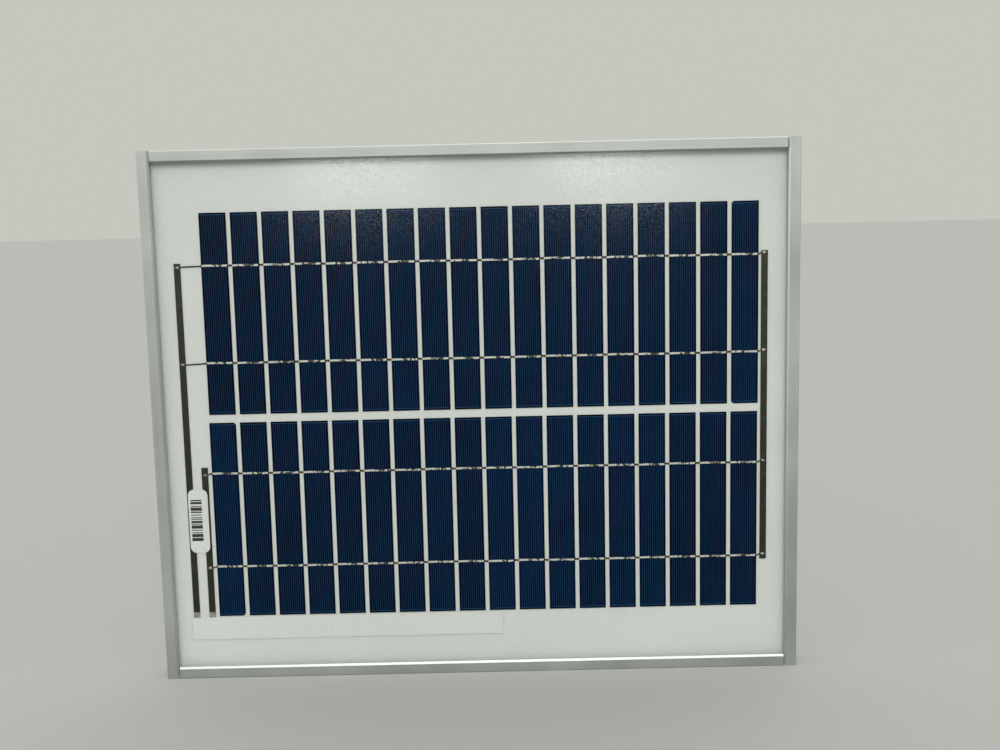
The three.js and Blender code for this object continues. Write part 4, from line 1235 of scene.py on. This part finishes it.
# Straps carry each lead's tail up into a clamp. Places across and up are in plain millimetres.
leads = (("outer", -12, 34, clamp_across[0]), ("inner", 8, 44, clamp_across[1]))
TAIL_BELOW, TAIL_ABOVE, BEND_FOOT, BEND_HEAD = 2, 3, 4, 50.5
TAIL_BACK, BEND_BACK, STRAP_BACK = 0.45 * MM, 0.3 * MM, bay_floor + 1.5 * MM
CLAMP_MOUTH, STRAP_END = 50.8 * MM, 54.5 * MM
STRAP_WIDTH, STRAP_THICKNESS = 3.4 * MM, 0.3 * MM
TAIL_SPOT_BACK, TAIL_SPOT_LENGTH, TAIL_SPOT_WIDTH = 0.65 * MM, 3.2 * MM, 3.6 * MM
for name, tail_x, tail_z, clamp_x in leads:
    middle_z = (tail_z + BEND_FOOT + BEND_HEAD) / 2
    strap = folded_ribbon([
        (tail_x * MM, TAIL_BACK, (tail_z - TAIL_BELOW) * MM),
        (tail_x * MM, TAIL_BACK, (tail_z + TAIL_ABOVE) * MM),
        ((tail_x + clamp_x) / 2 * MM, BEND_BACK, middle_z * MM),
        (clamp_x * MM, STRAP_BACK, CLAMP_MOUTH), (clamp_x * MM, STRAP_BACK, STRAP_END),
    ], STRAP_WIDTH, STRAP_THICKNESS, along="Z")
    settle(strap, f"lead_strap_{name}", "panel", bright_tin)
    solder_spot(f"lead_strap_solder_{name}", (tail_x * MM, TAIL_SPOT_BACK, tail_z * MM),
                TAIL_SPOT_LENGTH, TAIL_SPOT_WIDTH)

# The diode's pale band, at its blocking end.
diode_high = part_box("bypass_diode")[1]
DIODE_RADIUS, BAND_RADIUS = 2.7 * MM, 2.73 * MM
BAND_FROM, BAND_WIDTH = 2.4 * MM, 1.3 * MM
diode_y, diode_z = diode_high.y - DIODE_RADIUS, diode_high.z - DIODE_RADIUS
band = cylinder_along("X", BAND_RADIUS, (BAND_FROM, diode_y, diode_z), BAND_WIDTH, sides=48)
round_edges(band, 0.1)
settle(band, "diode_band", "panel", label_white)

# Gland: ribs round the domed cap, and the rubber ring that would grip a cable.
gland_low, gland_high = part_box("cable_gland")
gland_y, gland_z = (gland_low.y + gland_high.y) / 2, (gland_low.z + gland_high.z) / 2
CAP_RADIUS = 6 * MM
CAP_RIBS = 16
RIB_FROM, RIB_TO = 11.2 * MM, 4.2 * MM   # in from the gland's mouth
RIB_HALF_WIDTH, RIB_SUNK, RIB_PROUD = 0.4 * MM, 0.3 * MM, 0.5 * MM
rib = cube_between(
    (gland_high.x - RIB_FROM, gland_y + CAP_RADIUS - RIB_SUNK, gland_z - RIB_HALF_WIDTH),
    (gland_high.x - RIB_TO, gland_y + CAP_RADIUS + RIB_PROUD, gland_z + RIB_HALF_WIDTH),
)
round_edges(rib, 0.2)
only(rib)
bpy.ops.object.transform_apply(location=True, rotation=False, scale=False)
axis_place = Vector((0, gland_y, gland_z))
cap_ribs = []
for number in range(CAP_RIBS):
    twin = copy_to(rib, (0, 0, 0))
    turn = Matrix.Rotation(number * math.tau / CAP_RIBS, 4, "X")
    twin.matrix_world = Matrix.Translation(axis_place) @ turn @ Matrix.Translation(-axis_place)
    cap_ribs.append(twin)
bpy.data.objects.remove(rib)
settle(joined(cap_ribs), "gland_cap_ribs", "panel", box_black)

RING_RADIUS, RING_BORE, RING_LENGTH = 3.2 * MM, 2.2 * MM, 8.4 * MM
RING_FROM, BORE_FROM, BORE_CUT = 9 * MM, 10 * MM, 12 * MM   # in from the gland's mouth; the cut's length
ring_start = (gland_high.x - RING_FROM, gland_y, gland_z)
bore_start = (gland_high.x - BORE_FROM, gland_y, gland_z)
gland_ring = cylinder_along("X", RING_RADIUS, ring_start, RING_LENGTH, sides=40)
carve(gland_ring, cylinder_along("X", RING_BORE, bore_start, BORE_CUT, sides=40))
round_edges(gland_ring, 0.3)
settle(gland_ring, "gland_rubber_ring", "panel", rubber_black)


# ------------------------------------------------------------------ floor, light, camera

deselect()
bpy.ops.mesh.primitive_plane_add(size=14, location=(0, 0, 0))
floor = bpy.context.object
floor.name = "floor"
floor.visible_glossy = False
floor_material, floor_nodes, floor_links = new_material("pale_floor")
floor_shader = floor_nodes.new("ShaderNodeBsdfPrincipled")
floor_shader.inputs["Base Color"].default_value = (0.43, 0.43, 0.41, 1)
floor_shader.inputs["Roughness"].default_value = 0.9
floor_shader.inputs["Specular IOR Level"].default_value = 0
floor_output = floor_nodes.new("ShaderNodeOutputMaterial")
floor_links.new(floor_shader.outputs["BSDF"], floor_output.inputs["Surface"])
arrange(floor_nodes, {"Floor": {"Pale matte floor": floor_shader, "Floor": floor_output}})
floor.data.materials.append(floor_material)


def softbox(name, place, aim, width, height, power, tint=(1, 1, 1)):
    """A lit panel that only shows in what shines. It gives no light to matte faces."""
    deselect()
    bpy.ops.object.light_add(type="AREA", location=place)
    lamp = bpy.context.object
    lamp.name = name
    lamp.data.shape = "RECTANGLE"
    lamp.data.size = width
    lamp.data.size_y = height
    lamp.data.energy = power
    lamp.data.color = tint
    lamp.rotation_euler = (Vector(aim) - Vector(place)).to_track_quat("-Z", "Y").to_euler()
    lamp.visible_camera = False
    lamp.visible_diffuse = False


def far_lamp(name, towards, strength, spread):
    """Light from far off, with shadows as soft as a source that many degrees wide gives."""
    deselect()
    bpy.ops.object.light_add(type="SUN", location=(0, 0, 3))
    lamp = bpy.context.object
    lamp.name = name
    lamp.data.energy = strength
    lamp.data.angle = math.radians(spread)
    lamp.rotation_euler = Vector(towards).to_track_quat("-Z", "Y").to_euler()
    return lamp


far_lamp("key_light", towards=(-0.04, 1.0, -0.72), strength=0.95, spread=28)
front_fill = far_lamp("front_fill", towards=(0.05, 1.0, -0.08), strength=0.32, spread=60)
front_fill.visible_glossy = False
far_lamp("back_fill", towards=(-0.3, -1.0, -0.14), strength=0.6, spread=40)

# Two ceiling tubes in front of the panel show as soft bright patches in the glass.
TUBE_Y, TUBE_Z = -4.0, 0.40
TUBE_TINT = (0.95, 1.0, 0.99)
for name, x in (("ceiling_tube_left", -0.47), ("ceiling_tube_right", 0.42)):
    softbox(name, (x, TUBE_Y, TUBE_Z), aim=(x * 0.2, 0, 0.4), width=0.5, height=0.14, power=1.9,
            tint=TUBE_TINT)
softbox("side_glow", (-2.6, -1.1, 0.5), aim=(0.2, 0, 0.25), width=1.6, height=1.4, power=15)

world = bpy.data.worlds.new("studio")
scene.world = world
world.use_nodes = True
sky, sky_links = world.node_tree.nodes, world.node_tree.links
sky.clear()
direction = sky.new("ShaderNodeTexCoord")
axes = sky.new("ShaderNodeSeparateXYZ")
sky_links.new(direction.outputs["Generated"], axes.inputs["Vector"])
height_share = sky.new("ShaderNodeMapRange")
height_share.inputs["From Min"].default_value = -1
height_share.inputs["From Max"].default_value = 1
sky_links.new(axes.outputs["Z"], height_share.inputs["Value"])
fade = sky.new("ShaderNodeValToRGB")
fade.color_ramp.elements[0].position = 0.44
fade.color_ramp.elements[0].color = (0.02, 0.03, 0.036, 1)
fade.color_ramp.elements[1].position = 0.8
fade.color_ramp.elements[1].color = (0.95, 0.95, 0.92, 1)
for height, glow in ((0.51, (0.06, 0.09, 0.10)), (0.59, (1.0, 1.01, 0.96))):
    stop = fade.color_ramp.elements.new(height)
    stop.color = (*glow, 1)
sky_links.new(height_share.outputs["Result"], fade.inputs["Fac"])
studio_light = sky.new("ShaderNodeBackground")
sky_links.new(fade.outputs["Color"], studio_light.inputs["Color"])
plain_wall = sky.new("ShaderNodeBackground")
plain_wall.inputs["Color"].default_value = (0.565, 0.57, 0.52, 1)
ray = sky.new("ShaderNodeLightPath")
seen = sky.new("ShaderNodeMixShader")
sky_links.new(ray.outputs["Is Camera Ray"], seen.inputs["Fac"])
sky_links.new(studio_light.outputs["Background"], seen.inputs[1])
sky_links.new(plain_wall.outputs["Background"], seen.inputs[2])
world_output = sky.new("ShaderNodeOutputWorld")
sky_links.new(seen.outputs["Shader"], world_output.inputs["Surface"])
arrange(sky, {
    "Height in the room": {"Direction": direction, "Up and down": axes,
                           "From floor to ceiling": height_share},
    "Room light": {"Dark low, bright high": fade, "Light of the room": studio_light},
    "Behind the panel": {"Plain wall": plain_wall, "Seen by the camera": ray, "Wall or room": seen,
                         "Room": world_output},
})

CAMERA_PLACE = Vector((22.2, -1064.8, 402.1)) * MM
CAMERA_RIGHT = Vector((0.99975, -0.0013, -0.02254))
CAMERA_UP = Vector((0.02247, 0.1533, 0.98792))
camera_data = bpy.data.cameras.new("camera")
camera_data.sensor_fit = "HORIZONTAL"
camera_data.sensor_width = 36
camera_data.lens = 49.83
camera = bpy.data.objects.new("camera", camera_data)
scene.collection.objects.link(camera)
backward = CAMERA_RIGHT.cross(CAMERA_UP)
camera.matrix_world = Matrix.Translation(CAMERA_PLACE) @ Matrix(
    (CAMERA_RIGHT, CAMERA_UP, backward)
).transposed().to_4x4()
scene.camera = camera
scene.view_settings.view_transform = "Standard"
